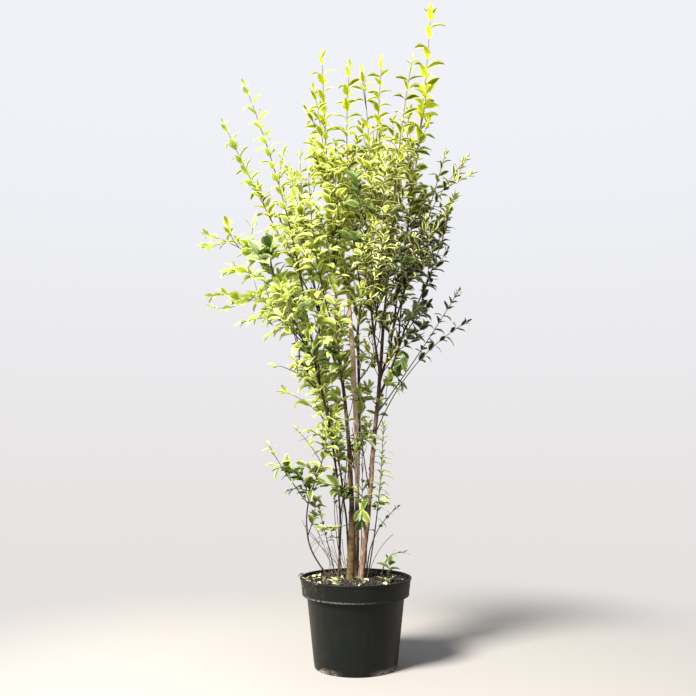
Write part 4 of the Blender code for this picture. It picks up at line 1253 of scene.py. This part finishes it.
    ("set", (-392, -100, 1205), (-419, -100, 1212), (-440, -100, 1212), 12, 0.1, 0, "lime"),
    ("seen", (452, 192, -100), (461, 180, -100), (473, 173, -100), 12, 0.1, 0, "slender"),
    ("seen", (440, 215, -60), (447, 205, -60), (456, 198, -60), 12, 0.1, 0, "slender"),
)
IN_SOIL = 0.231
WOOD_SAMPLES = np.linspace(0.0, 0.97, 20)
TRACED_SEEDS = 500
TRACED_TIP_RADIUS = 0.0008
TRACED_BUDS = 0.50
TRACED_RUN = (0.3, 0.85)
FOCAL_WHOLE = round(FOCAL_PIXELS)
TO_MILLIMETRE = 3
TO_CENTIMETRE = 2


def seen_place(reading):
    """The place of a reading, to the nearest millimetre, and for its depth to the nearest
    centimetre. Its sight line rises by the camera's tilt and by the arc tangent of its pixel's
    height over the focal length. Its distance along the camera's axis scales its pixel's offset."""
    column, line, depth = reading[0], reading[1], reading[2] / MILLIMETRES
    ahead = depth - CAMERA_PLACE[1]
    rise = ahead * math.tan(CAMERA_TILT + math.atan2(PHOTO_SIDE / 2 - line, FOCAL_WHOLE))
    along = ahead * math.cos(CAMERA_TILT) + rise * math.sin(CAMERA_TILT)
    aside = CAMERA_PLACE[0] + (column - PHOTO_SIDE / 2) / FOCAL_WHOLE * along
    height = CAMERA_PLACE[2] + rise
    return np.array((round(aside, TO_MILLIMETRE), round(depth, TO_CENTIMETRE), round(height, TO_MILLIMETRE)))


PLACE_OF = {"set": metres, "seen": seen_place}
wood_points = np.concatenate([arc_points(twig, WOOD_SAMPLES) for twig in twigs] + list(paths.values()))
traced_start = len(twigs)
for number, row in enumerate(Traced(*fields) for fields in TRACED):
    chance = np.random.default_rng(TRACED_SEEDS + number)
    foot, way, tip = (PLACE_OF[row.given](point) for point in (row.foot, row.way, row.tip))
    if foot[2] > IN_SOIL:
        foot = wood_points[np.argmin(np.linalg.norm(wood_points - foot, axis=1))]
    radii = (row.radius / TENTHS, TRACED_TIP_RADIUS)
    twig = Twig(None, foot, control_through(foot, way, tip), tip, radii, row.leafy_from, 0, row.leaf)
    run = (min(max(row.leafy_from, TRACED_RUN[0]), 1.0), TRACED_RUN[1])
    twigs += [twig, *branches(twig, row.reach / MILLIMETRES, TRACED_BUDS, run, FINE_RADII, 1, chance)]
lengths = [arc_length(twig) for twig in twigs]
print(f"traced: {len(twigs) - traced_start} twigs")
print(f"twigs: {len(twigs)}, {sum(lengths):.1f} m in all")

# %% [markdown]
# ## The twigs' wood
# Young privet wood is greyish, older wood brown. The lower part of each twig wears the old
# finish and the upper part the young one. The finishes are told apart by face, with no pattern
# that would need a map on thousands of thin tubes.

# %% Make the twigs
TWIG_STEP = 0.022
TWIG_SIDES = 6
TWIG_LEAST_RINGS = 4
YOUNG_FROM = (0.45, 0.15, 0.15)
OLD_WOOD = new_finish("old twig wood", paint(48, 37, 29), roughness=0.8)[0]
YOUNG_WOOD = new_finish("young twig wood", paint(84, 76, 60), roughness=0.7)[0]
DRY_WOOD = new_finish("dry twig wood", paint(98, 82, 72), roughness=0.85)[0]

wood = Joined()
dry = Joined()
for twig, length in zip(twigs, lengths):
    rings = max(TWIG_LEAST_RINGS, round(length / TWIG_STEP) + 1)
    shares = np.linspace(0.0, 1.0, rings)
    radii = (twig.radii[0] + (twig.radii[1] - twig.radii[0]) * shares)[:, None]
    tube = tube_points(arc_points(twig, shares), np.repeat(radii, TWIG_SIDES, axis=1))
    if twig.leafy_from == 1.0:
        dry.add_rings(tube)
    else:
        ring_of_face = np.append(np.repeat(np.arange(rings - 1), TWIG_SIDES), (0, rings - 1))
        young = ring_of_face / (rings - 1) > YOUNG_FROM[twig.order]
        wood.add_rings(tube, young.astype(int))
leafy_shoots = [shoot.name for shoot in SHOOTS if shoot.leafy_from < 1.0]
dry_shoots = [shoot.name for shoot in SHOOTS if shoot.leafy_from == 1.0]
wood.make("twigs", [OLD_WOOD, YOUNG_WOOD], leafy_shoots)
dry.make("dry_twigs", [DRY_WOOD], dry_shoots)

# %% [markdown]
# ## The leaves
# A full-grown privet leaf is a pointed oval, mostly 40 to 50 mm long, folded a little along its
# midrib and arched so that its tip turns down. It is green in the middle with a pale yellow edge.
# The blade is a grid of six steps by four strips: the outer strips carry the edge's colour, so
# that no map is needed. All the leaves of a tint are worked out at once: leaf, step and strip are
# three axes of one array. What a leaf is like depends on the order of its twig, which is 0 for a
# shoot's own stem, 1 for its side twigs and 2 for their fine ones, and on the kind of growth.

# %% The kinds of leaf
Order = namedtuple("Order", "length internode young_run young_size young_spread")
ORDERS = (
    Order(0.049, 0.028, 0.070, 0.50, math.radians(24)),
    Order(0.046, 0.027, 0.035, 0.62, math.radians(38)),
    Order(0.042, 0.027, 0.030, 0.70, math.radians(44)),
)
Kind = namedtuple("Kind", "longer wider spread spacing least_age tints", defaults=((),))
LEAF_KINDS = {
    "plain": Kind(1.0, 1.0, 1.0, 1.0, 0.0),
    "read": Kind(1.0, 1.0, 1.0, 1.0, 0.2),
    "lime": Kind(1.10, 1.05, 1.0, 1.1, 0.2, (1, 6)),
    "tall": Kind(1.22, 1.10, 0.90, 1.22, 0.0),
    "slender": Kind(0.80, 0.84, 1.1, 0.85, 0.0),
    "small": Kind(0.62, 0.90, 1.1, 0.9, 0.0),
    "narrow": Kind(0.80, 0.46, 1.4, 0.33, 0.3, (9,)),
    "thin": Kind(0.66, 0.42, 1.2, 0.90, 0.5, (9,)),
    "short": Kind(0.50, 0.85, 1.3, 0.62, 0.4, (9,)),
    "sparse": Kind(0.70, 0.78, 1.3, 1.45, 0.6),
    "large": Kind(1.10, 0.82, 1.1, 1.40, 0.8, (9, 8, 11, 9)),
    "hanging": Kind(0.92, 1.05, 1.0, 1.0, 0.8, (11, 11, 11, 8)),
    "sprout": Kind(0.78, 1.10, 1.0, 1.0, 0.7, (8, 9, 10)),
    "broad": Kind(1.12, 1.20, 1.0, 1.60, 0.8, (10, 10, 11, 9)),
    "dull": Kind(1.12, 1.25, 1.0, 1.60, 0.8, (11,)),
    "rounded": Kind(1.25, 1.40, 1.1, 1.50, 0.8, (10, 10, 11)),
}
print(f"leaf kinds: {len(LEAF_KINDS)}")

# %% Where leaves are thinned
OPENINGS = np.array((
    (-130, 1360, 20, 34, 12), (235, 1290, 22, 40, 12), (-180, 1190, 36, 26, 12),
    (-140, 1095, 22, 30, 12), (-34, 1045, 22, 40, 12), (300, 1250, 35, 55, 30),
    (78, 940, 36, 62, 12), (150, 930, 30, 60, 12), (215, 1120, 28, 40, 12),
    (-60, 1499, 22, 36, 12), (46, 1620, 30, 30, 12), (240, 1470, 24, 34, 12),
    (230, 1315, 26, 30, 12), (-133, 985, 24, 24, 12), (-175, 905, 22, 36, 12),
    (-150, 780, 40, 44, 25), (-145, 960, 60, 80, 50), (24, 535, 30, 55, 12),
    (-90, 495, 30, 30, 12), (-14, 680, 26, 22, 12), (-140, 1012, 45, 60, 45),
    (52, 1622, 55, 30, 20), (-93, 1343, 36, 24, 30), (-76, 493, 27, 30, 30),
    (-355, 1120, 45, 35, 35), (-340, 1210, 35, 30, 45), (-38, 1492, 56, 42, 20),
    (-158, 1095, 30, 28, 25), (180, 1020, 28, 45, 30), (-205, 862, 25, 25, 30),
    (-30, 545, 28, 50, 35),
)) / (MILLIMETRES, MILLIMETRES, MILLIMETRES, MILLIMETRES, 100)
CUT_PATH = paths[CUT_STEM]
CUT_CLEAR = 0.034
CUT_SHOWN = (0.56, 1.12)
CUT_KEPT = 0.08


def in_view(root, chance):
    """Whether each leaf stays. A share of the leaves is kept inside each oval opening that the
    front of the plant shows, given by its middle in X and Z, half its width and half its height,
    and in front of the pale stem that was cut back."""
    kept = np.ones(len(root), bool)
    for x, z, half_width, half_height, share in OPENINGS:
        inside = ((root[:, 0] - x) / half_width) ** 2 + ((root[:, 2] - z) / half_height) ** 2 < 1
        kept &= ~inside | (chance.random(len(root)) < share)
    cut_x = np.interp(root[:, 2], CUT_PATH[:, 2], CUT_PATH[:, 0])
    front = (np.abs(root[:, 0] - cut_x) < CUT_CLEAR) & (root[:, 1] < CUT_PATH[0, 1])
    front &= (root[:, 2] > CUT_SHOWN[0]) & (root[:, 2] < CUT_SHOWN[1])
    return kept & (~front | (chance.random(len(root)) < CUT_KEPT))


print(f"openings: {len(OPENINGS)}")

# %% The leaves' places
LEADER_STEPS = (0.40, 0.80, 1.15, 1.15, 1.00, 0.88, 0.80, 0.74)
SIDE_STEPS = (0.35, 0.57, 0.79, 1.00)
SPARE_PAIRS = 3
LEAF_WIDTH = 0.54
WIDTH_GROWTH = (0.8, 0.2)
WIDTH_JITTER = (0.9, 1.1)
LEAF_SPREAD = math.radians(55)
SPREAD_JITTER = math.radians(11)
LEVELLING = 0.7
FACING = (0.6, 0.7, 0.35)
FACING_REACH = 0.25
FACING_CLOSER = 0.35
FACING_FLATTER = 0.40
FACING_SHORTER = 0.12
FIRST_TURN = -0.45
LEAF_TURN = 0.30
LEAF_ROLL = 0.45
LEAF_SIZES = (0.80, 1.12)
BIG_LEAF = 1.15
BIG_RIGHT = 0.02
BIG_BELOW = 1.20
BIG_ABOVE = 0.70
SIDE_NARROWER = 0.15
LEAF_ARCH = (0.60, 1.30)
ARCH_GROWTH = (0.4, 0.6)
LEAF_FOLD = (0.18, 0.50)
LEAF_LOSS = 0.06
OLD_LEAF_FALLS = 0.35
SHORTEST_WORN = 0.2

Leaves = namedtuple("Leaves", "root axis up length width arch fold age node")


def leaves_of(twig, length, chance):
    """Leaves in pairs from the tip down. The first steps between pairs are short, and on a leading
    shoot they are longest just below its tip. The leaves grow to full size over the young run, and
    those far down the twig have often fallen."""
    kind = LEAF_KINDS[twig.leaf]
    order = ORDERS[twig.order]
    leafy = length * (1 - twig.leafy_from)
    internode = order.internode * kind.spacing
    steps = LEADER_STEPS if twig.order == 0 and twig.leaf == "plain" and twig.shoot else SIDE_STEPS
    count = max(1, round(leafy / (internode * steps[-1])) + SPARE_PAIRS)
    steps = internode * np.array(steps)[np.minimum(np.arange(count), len(steps) - 1)]
    down = np.concatenate(([0.0], np.cumsum(steps)[:-1]))
    down = np.repeat(down[down <= leafy], 2)
    count = len(down)
    node = np.arange(count) // 2
    shares = 1.0 - down / length
    age = np.clip(down / order.young_run, kind.least_age, 1.0)
    start = chance.random() * TAU if twig.order == 2 or twig.shoot is None else FIRST_TURN
    turn = start + node * math.pi / 2 + (np.arange(count) % 2) * math.pi
    turn = turn + chance.uniform(-LEAF_TURN, LEAF_TURN, count)
    headings = arc_headings(twig, shares)
    out = around(headings, turn)
    level = 1 - np.abs(headings[:, 2:])
    out = unit(out - UP * (out[:, 2:] * level * LEVELLING))
    spread = order.young_spread + (LEAF_SPREAD * kind.spread - order.young_spread) * age
    facing = np.where((twig.order == 0) & (node % 2 == 0), 1.0, 0.0)
    spread = spread * (1 - FACING_CLOSER * facing)
    spread = (spread + chance.uniform(-SPREAD_JITTER, SPREAD_JITTER, count))[:, None]
    axis = unit(headings * np.cos(spread) + out * np.sin(spread))
    root = arc_points(twig, shares)
    outward = root * (1.0, 1.0, 0.0) / FACING_REACH
    above = square_to(headings * FACING[0] + UP * FACING[1] + outward * FACING[2], axis)
    roll = chance.uniform(-LEAF_ROLL, LEAF_ROLL, count)[:, None]
    up = above * np.cos(roll) + np.cross(axis, above) * np.sin(roll)
    grown = order.young_size + (1 - order.young_size) * age
    size = kind.longer * order.length * grown * chance.uniform(*LEAF_SIZES, count)
    if twig.shoot is not None:
        size = size * (1 - FACING_SHORTER * facing * age)
    big = (root[:, 0] < BIG_RIGHT) & (root[:, 2] < BIG_BELOW) & (root[:, 2] > BIG_ABOVE)
    size = size * np.where(big, BIG_LEAF, 1.0)
    grown = WIDTH_GROWTH[0] + WIDTH_GROWTH[1] * age
    width = kind.wider * LEAF_WIDTH * grown * chance.uniform(*WIDTH_JITTER, count)
    if twig.order == 0:
        width = width * (1 - SIDE_NARROWER * (1 - facing))
    arch = LEAF_ARCH[0] + (LEAF_ARCH[1] - LEAF_ARCH[0]) * chance.random(count)
    arch = arch * (ARCH_GROWTH[0] + ARCH_GROWTH[1] * age) * (1 - FACING_FLATTER * facing)
    fold = chance.uniform(*LEAF_FOLD, count)
    worn = OLD_LEAF_FALLS * (down / max(length, SHORTEST_WORN)) ** 2
    keep = chance.random(count) > np.where(twig.leaf == "narrow", 0.0, worn) + LEAF_LOSS
    if twig.leaf == "plain":
        keep &= in_view(root, chance)
    return picked(Leaves(root, axis, up, size, width, arch, fold, age, node), keep)


def picked(leaves, chosen):
    """The leaves that are chosen."""
    return Leaves(*(row[chosen] for row in leaves))


print(f"leaves: {LEAF_WIDTH} as wide as long, in pairs at {math.degrees(LEAF_SPREAD):.0f} degrees")

# %% The leaves' tints
Tint = namedtuple("Tint", "name least_sun centre margin glow slot")
TINTS = (
    Tint("lime_tip", 1.60, paint(204, 216, 40), paint(236, 240, 118), 0.44, "leaf_sunlit"),
    Tint("lime", 0.95, paint(158, 176, 44), paint(246, 246, 164), 0.40, "leaf_sunlit"),
    Tint("light_green", 0.10, paint(128, 147, 36), paint(246, 244, 168), 0.34, "leaf_middle"),
    Tint("green", -0.60, paint(94, 113, 24), paint(238, 236, 160), 0.28, "leaf_middle"),
    Tint("shade_green", -1.25, paint(62, 79, 17), paint(214, 214, 148), 0.22, "leaf_shaded"),
    Tint("deep_green", -9.0, paint(34, 48, 15), paint(156, 160, 118), 0.18, "leaf_shaded"),
    Tint("pale_lime", -98.0, paint(176, 196, 92), paint(226, 234, 154), 0.36, "leaf_sunlit"),
    Tint("fresh_light", -98.0, paint(172, 186, 84), paint(220, 226, 148), 0.36, "leaf_sunlit"),
    Tint("fresh_green", -98.0, paint(134, 150, 64), paint(196, 204, 128), 0.30, "leaf_middle"),
    Tint("fresh_shade", -98.0, paint(92, 108, 50), paint(156, 168, 104), 0.26, "leaf_shaded"),
    Tint("broad_green", -99.0, paint(132, 150, 98), paint(184, 196, 146), 0.30, "leaf_middle"),
    Tint("dull_green", -99.0, paint(70, 90, 40), paint(112, 132, 72), 0.22, "leaf_shaded"),
)
PATCHES = np.array((
    (-80, 1480, 50, 90), (-170, 1150, 60, 90), (-140, 1010, 60, 200), (-80, 810, 60, 100),
    (-200, 790, 50, 180), (30, 860, 60, 120), (230, 1700, 60, 150), (200, 1450, 50, 80),
    (-80, 1700, 50, -40), (50, 1740, 70, 80), (-60, 650, 60, 60), (320, 1530, 120, -120),
    (0, 1240, 40, -160), (180, 1290, 50, -140), (100, 1390, 50, -100), (-140, 1260, 50, -100),
    (160, 910, 50, -140), (250, 1040, 60, -130), (140, 1030, 50, -150), (-60, 1300, 50, 80),
    (100, 1710, 60, 50), (140, 1250, 30, -80), (90, 1100, 40, -70), (-10, 950, 50, -70),
    (-400, 1240, 70, 120), (-400, 1080, 70, 120), (-70, 1120, 40, -100), (-240, 970, 50, -100),
    (-220, 890, 40, -160), (-300, 1150, 50, -80), (-240, 1420, 60, 50),
)) / (MILLIMETRES, MILLIMETRES, MILLIMETRES, 100)
SUN_LEVEL = 1.25
SUN_RISE = 0.40
SUN_REACH = 0.20
SUN_REACH_RIGHT = 0.17
LOWEST_SUN = -0.15
TOP_LEVEL = 1.16
TOP_RISE = 0.26
FOOT_LEVEL = 0.60
FOOT_RISE = 0.30
SPRAY_PLACE = 0.6
SPRAY_SHARE = 0.5
SPRAY_JITTER = 0.40
LEAF_JITTER = 0.30
YOUNG_LIGHTER = 0.5
PAIR_SHIFT = 0.30
TOP_PAIR_SHIFT = 0.55
SUN_WASHED_TINT = 6
PALE_SUN = 0.60
SUN_WASHED_LEFT = -0.17
FRESH_TINTS = (7, 8, 9)
FRESH_SUN = (0.25, -0.60)
FRESH_BELOW = 0.84
FRESH_LEFT = -0.05
FRESH_TOP = 1.22
FRESH_SHARE = 0.72
FOOT_SHADE = 1.35
FOOT_SHADED = 0.68
FOOT_BLEND = 0.08


def sun_at(points):
    """How much sun a place gets. It grows with height from a least value, and falls to the right,
    though all sides are lit near the top of the plant, and its foot stands in the open."""
    x, height = points[..., 0], points[..., 2]
    above = np.maximum((height - SUN_LEVEL) / SUN_RISE, LOWEST_SUN)
    under = np.clip(1 - (height - TOP_LEVEL) / TOP_RISE, 0.0, 1.0)
    closed = np.where(x > 0, np.clip((height - FOOT_LEVEL) / FOOT_RISE, 0.0, 1.0), 1.0)
    return above - x / np.where(x > 0, SUN_REACH_RIGHT, SUN_REACH) * under * closed


def patch_light(place):
    """How much lighter the sprays round a place are. Each patch has its middle in X and Z, its
    reach and how much it lightens. It counts less with the square of the distance in reaches."""
    far = np.hypot(place[0] - PATCHES[:, 0], place[2] - PATCHES[:, 1]) / PATCHES[:, 2]
    return float((PATCHES[:, 3] * np.exp(-(far**2))).sum())


def tint_of(twig, leaves, chance):
    """The tint of each leaf: by the sun on its spray, lighter where it is young. On the leading
    shoots the pairs that face front and back are lighter than the pairs to the sides. Low down
    and at the left the growth is fresh, and some kinds of leaf have tints of their own. Sunlit
    leaves at the far left take the pale tint, painted light that washes them out."""
    spray = arc_points(twig, [SPRAY_PLACE])
    place = spray[0]
    sun = sun_at(spray)[0] * SPRAY_SHARE + sun_at(leaves.root) * (1 - SPRAY_SHARE)
    sun = sun + chance.uniform(-SPRAY_JITTER, SPRAY_JITTER)
    sun = sun + patch_light(place)
    sun = sun + chance.uniform(-LEAF_JITTER, LEAF_JITTER, len(sun)) + YOUNG_LIGHTER * (1 - leaves.age)
    if LEAF_KINDS[twig.leaf].tints:
        return chance.choice(LEAF_KINDS[twig.leaf].tints, len(sun))
    if twig.order == 0 and twig.leaf != "slender":
        shift = np.where(leaves.root[:, 2] > TOP_LEVEL, TOP_PAIR_SHIFT, PAIR_SHIFT)
        sun = sun + shift * (1 - 2 * (leaves.node % 2))
    left = place[0] < FRESH_LEFT and place[2] < FRESH_TOP and chance.random() < FRESH_SHARE
    if place[2] < FRESH_BELOW or left:
        sun = sun - FOOT_SHADE * np.clip((FOOT_SHADED - place[2]) / FOOT_BLEND, 0.0, 1.0)
        return np.select((sun > FRESH_SUN[0], sun > FRESH_SUN[1]), FRESH_TINTS[:2], FRESH_TINTS[2])
    least = np.array([tint.least_sun for tint in TINTS])
    tints = np.argmax(sun[:, None] > least[None], axis=1)
    # Sunlit sprays at the far left take the pale tint: painted light that washes their colour out.
    return np.where((sun > PALE_SUN) & (leaves.root[:, 0] < SUN_WASHED_LEFT), SUN_WASHED_TINT, tints)


print(f"tints: {len(TINTS)}, patches: {len(PATCHES)}")

# %% The leaf's shape
LEAF_STEPS = np.array((0.0, 0.10, 0.26, 0.46, 0.67, 0.86, 1.0))
LEAF_STRIPS = np.array((-1.0, -0.56, 0.0, 0.56, 1.0))
WIDEST = 0.92
FULLNESS = 0.85
WAVE_DEPTH = 0.5
WAVES = 9.0
WAVE_SHIFT = 40
LEAF_GLOSS = 0.30


def leaf_points(leaves):
    """Points by leaf, step and strip. The midrib bends evenly down from root to tip, so it is part
    of a circle: sine of the bend ahead, one less its cosine down, over the bend. Half the width
    follows a sine of the step. The edges are lifted square to the midrib by the fold, and waved."""
    step = LEAF_STEPS[None, :, None]
    strip = LEAF_STRIPS[None, None, :]
    length, width, arch, fold = (row[:, None, None] for row in leaves[3:7])
    half = length * width / 2 * np.sin(math.pi * step**WIDEST) ** FULLNESS
    wave = 1 + WAVE_DEPTH * np.sin(WAVES * step + WAVE_SHIFT * fold)
    lift = half * np.abs(strip) * fold * wave
    ahead = length * np.sin(arch * step) / arch + lift * np.sin(arch * step)
    rise = -length * (1 - np.cos(arch * step)) / arch + lift * np.cos(arch * step)
    aside = np.cross(leaves.up, leaves.axis)
    along, upward, sideways = (row[:, None, None, :] for row in (leaves.axis, leaves.up, aside))
    flat = ahead[..., None] * along + rise[..., None] * upward
    return leaves.root[:, None, None] + flat + (half * strip)[..., None] * sideways


def leaf_faces():
    """Faces of one leaf on its grid: quads between steps, closing to a point at root and tip, and
    1 for each that lies in the yellow margin."""
    strips = len(LEAF_STRIPS)
    last = len(LEAF_STEPS) - 1
    faces = []
    margin = []
    for step in range(last):
        for strip in range(strips - 1):
            a = 1 + (step - 1) * strips + strip
            b = a + strips
            if step == 0:
                faces.append((0, b + 1, b))
            elif step == last - 1:
                faces.append((a, a + 1, 1 + (last - 1) * strips))
            else:
                faces.append((a, a + 1, b + 1, b))
            margin.append(int(strip in (0, strips - 2)))
    return faces, margin


LEAF_FACES, LEAF_MARGIN = leaf_faces()


def add_leaves(joined, leaves, slots):
    """Adds a batch of leaves, with one point at each root and tip, and the slots of a leaf's faces."""
    grid = leaf_points(leaves)
    count = len(grid)
    middle = grid[:, 1:-1].reshape(count, -1, 3)
    points = np.concatenate((grid[:, 0, 2][:, None], middle, grid[:, -1, 2][:, None]), axis=1)
    size = points.shape[1]
    faces = [[leaf * size + corner for corner in face] for leaf in range(count) for face in LEAF_FACES]
    joined.add(points, faces, np.tile(slots, count))


def leaf_finish(name, colour, glow):
    """A smooth leaf that also lets light through: a share of its shader shines with light from behind."""
    finish, shader = new_finish(name, colour, roughness=0.42)
    shader.inputs["Specular IOR Level"].default_value = LEAF_GLOSS
    lit_through = add_node(finish, "ShaderNodeBsdfTranslucent", Color=colour)
    output = finish.node_tree.nodes["Material Output"]
    feed(finish, output.inputs["Surface"], blended(finish, glow, shader, lit_through))
    return finish


print(f"a leaf: {len(LEAF_FACES)} faces")

# %% Make the leaves
LEAF_SEEDS = 5000

batches = {tint.name: [] for tint in TINTS}
nodes_in = {tint.name: set() for tint in TINTS}
for number, (twig, length) in enumerate(zip(twigs, lengths)):
    if twig.leafy_from == 1.0:
        continue
    chance = np.random.default_rng(LEAF_SEEDS + number)
    leaves = leaves_of(twig, length, chance)
    tints = tint_of(twig, leaves, chance)
    for index, tint in enumerate(TINTS):
        if (tints == index).any():
            batches[tint.name].append(picked(leaves, tints == index))
            nodes_in[tint.name].update([twig.shoot.name] if twig.shoot else [])
leaf_total = 0
for tint in TINTS:
    joined = Joined()
    together = Leaves(*(np.concatenate(rows) for rows in zip(*batches[tint.name])))
    add_leaves(joined, together, LEAF_MARGIN)
    blade = leaf_finish(f"{tint.name} leaf", tint.centre, tint.glow)
    edge = leaf_finish(f"{tint.name} leaf edge", tint.margin, tint.glow)
    joined.make(f"leaves_{tint.name}", [blade, edge], sorted(nodes_in[tint.name]))
    leaf_total += len(together.length)
print(f"leaves: {leaf_total}")

# %% [markdown]
# ## Fallen leaves
# Old leaves lie curled on the soil, most of them at the left, and two are placed one by one: one
# that hangs over the rim, and one in front. They are the same leaf once more, laid flat in any
# direction, more arched and folded, and dull.

# %% Lay the fallen leaves
FALLEN_SEED = 77
FALLEN_COUNT = 46
FALLEN_HEAPED = 26
FALLEN_MIDDLE = (-0.090, -0.02)
FALLEN_REACH = (0.034, 0.045)
FALLEN_LENGTHS = (0.014, 0.032)
FALLEN_RISE = 0.004
FALLEN_SLOPE = 0.5
FALLEN_TILT = 0.5
FALLEN_WIDTHS = (0.45, 0.62)
FALLEN_ARCH = (0.5, 1.8)
FALLEN_FOLD = (0.3, 0.8)
FALLEN_EDGES = (0.012, 0.010)
FALLEN_PAINTS = (paint(172, 172, 136), paint(128, 130, 90), paint(84, 68, 48))
FALLEN_SHARES = (0.45, 0.30, 0.25)
RIM_LEAF = ((-0.148, -0.010, 0.258), (-0.9, 0.1, 0.25), 0.024)
FRONT_LEAF = ((-0.066, -0.128, 0.252), (0.95, 0.1, 0.05), 0.034)

chance = np.random.default_rng(FALLEN_SEED)
flat = strewn(chance, FALLEN_COUNT, SOIL_RADIUS - FALLEN_EDGES[0])
flat[:FALLEN_HEAPED] = FALLEN_MIDDLE + chance.normal(0, 1, (FALLEN_HEAPED, 2)) * FALLEN_REACH
flat *= np.minimum(1.0, (SOIL_RADIUS - FALLEN_EDGES[1]) / np.linalg.norm(flat, axis=1))[:, None]
height = soil_height(flat[:, 0], flat[:, 1]) + FALLEN_RISE * chance.random(FALLEN_COUNT)
root = np.column_stack((flat, height))
heading = chance.random(FALLEN_COUNT) * TAU
slope = chance.uniform(0.0, FALLEN_SLOPE, FALLEN_COUNT)
axis = unit(np.stack((np.cos(heading), np.sin(heading), slope), axis=1))
length = chance.uniform(*FALLEN_LENGTHS, FALLEN_COUNT)
for place, (start, way, long) in enumerate((RIM_LEAF, FRONT_LEAF)):
    root[place] = start
    axis[place] = unit(np.array(way))
    length[place] = long
above = square_to(UP + chance.uniform(-FALLEN_TILT, FALLEN_TILT, (FALLEN_COUNT, 3)), axis)
shape = [chance.uniform(*limits, FALLEN_COUNT) for limits in (FALLEN_WIDTHS, FALLEN_ARCH, FALLEN_FOLD)]
still = np.ones(FALLEN_COUNT)
lying = Leaves(root, axis, above, length, *shape, still, still)
shade = chance.choice(len(FALLEN_PAINTS), FALLEN_COUNT, p=FALLEN_SHARES)
shade[:2] = 0
fallen = Joined()
fallen_finishes = []
for number, colour in enumerate(FALLEN_PAINTS):
    add_leaves(fallen, picked(lying, shade == number), [number] * len(LEAF_FACES))
    fallen_finishes.append(new_finish(f"fallen leaf {number}", colour, roughness=0.8)[0])
fallen.make("fallen_leaves", fallen_finishes)

# %% [markdown]
# ## Size
# The size of the dressed plant's box is printed. The dressed plant has to keep the size of its
# solids.

# %% Size and finish
bpy.context.view_layer.update()
low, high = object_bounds()
print("size:", [round(high[i] - low[i], 3) for i in range(3)])
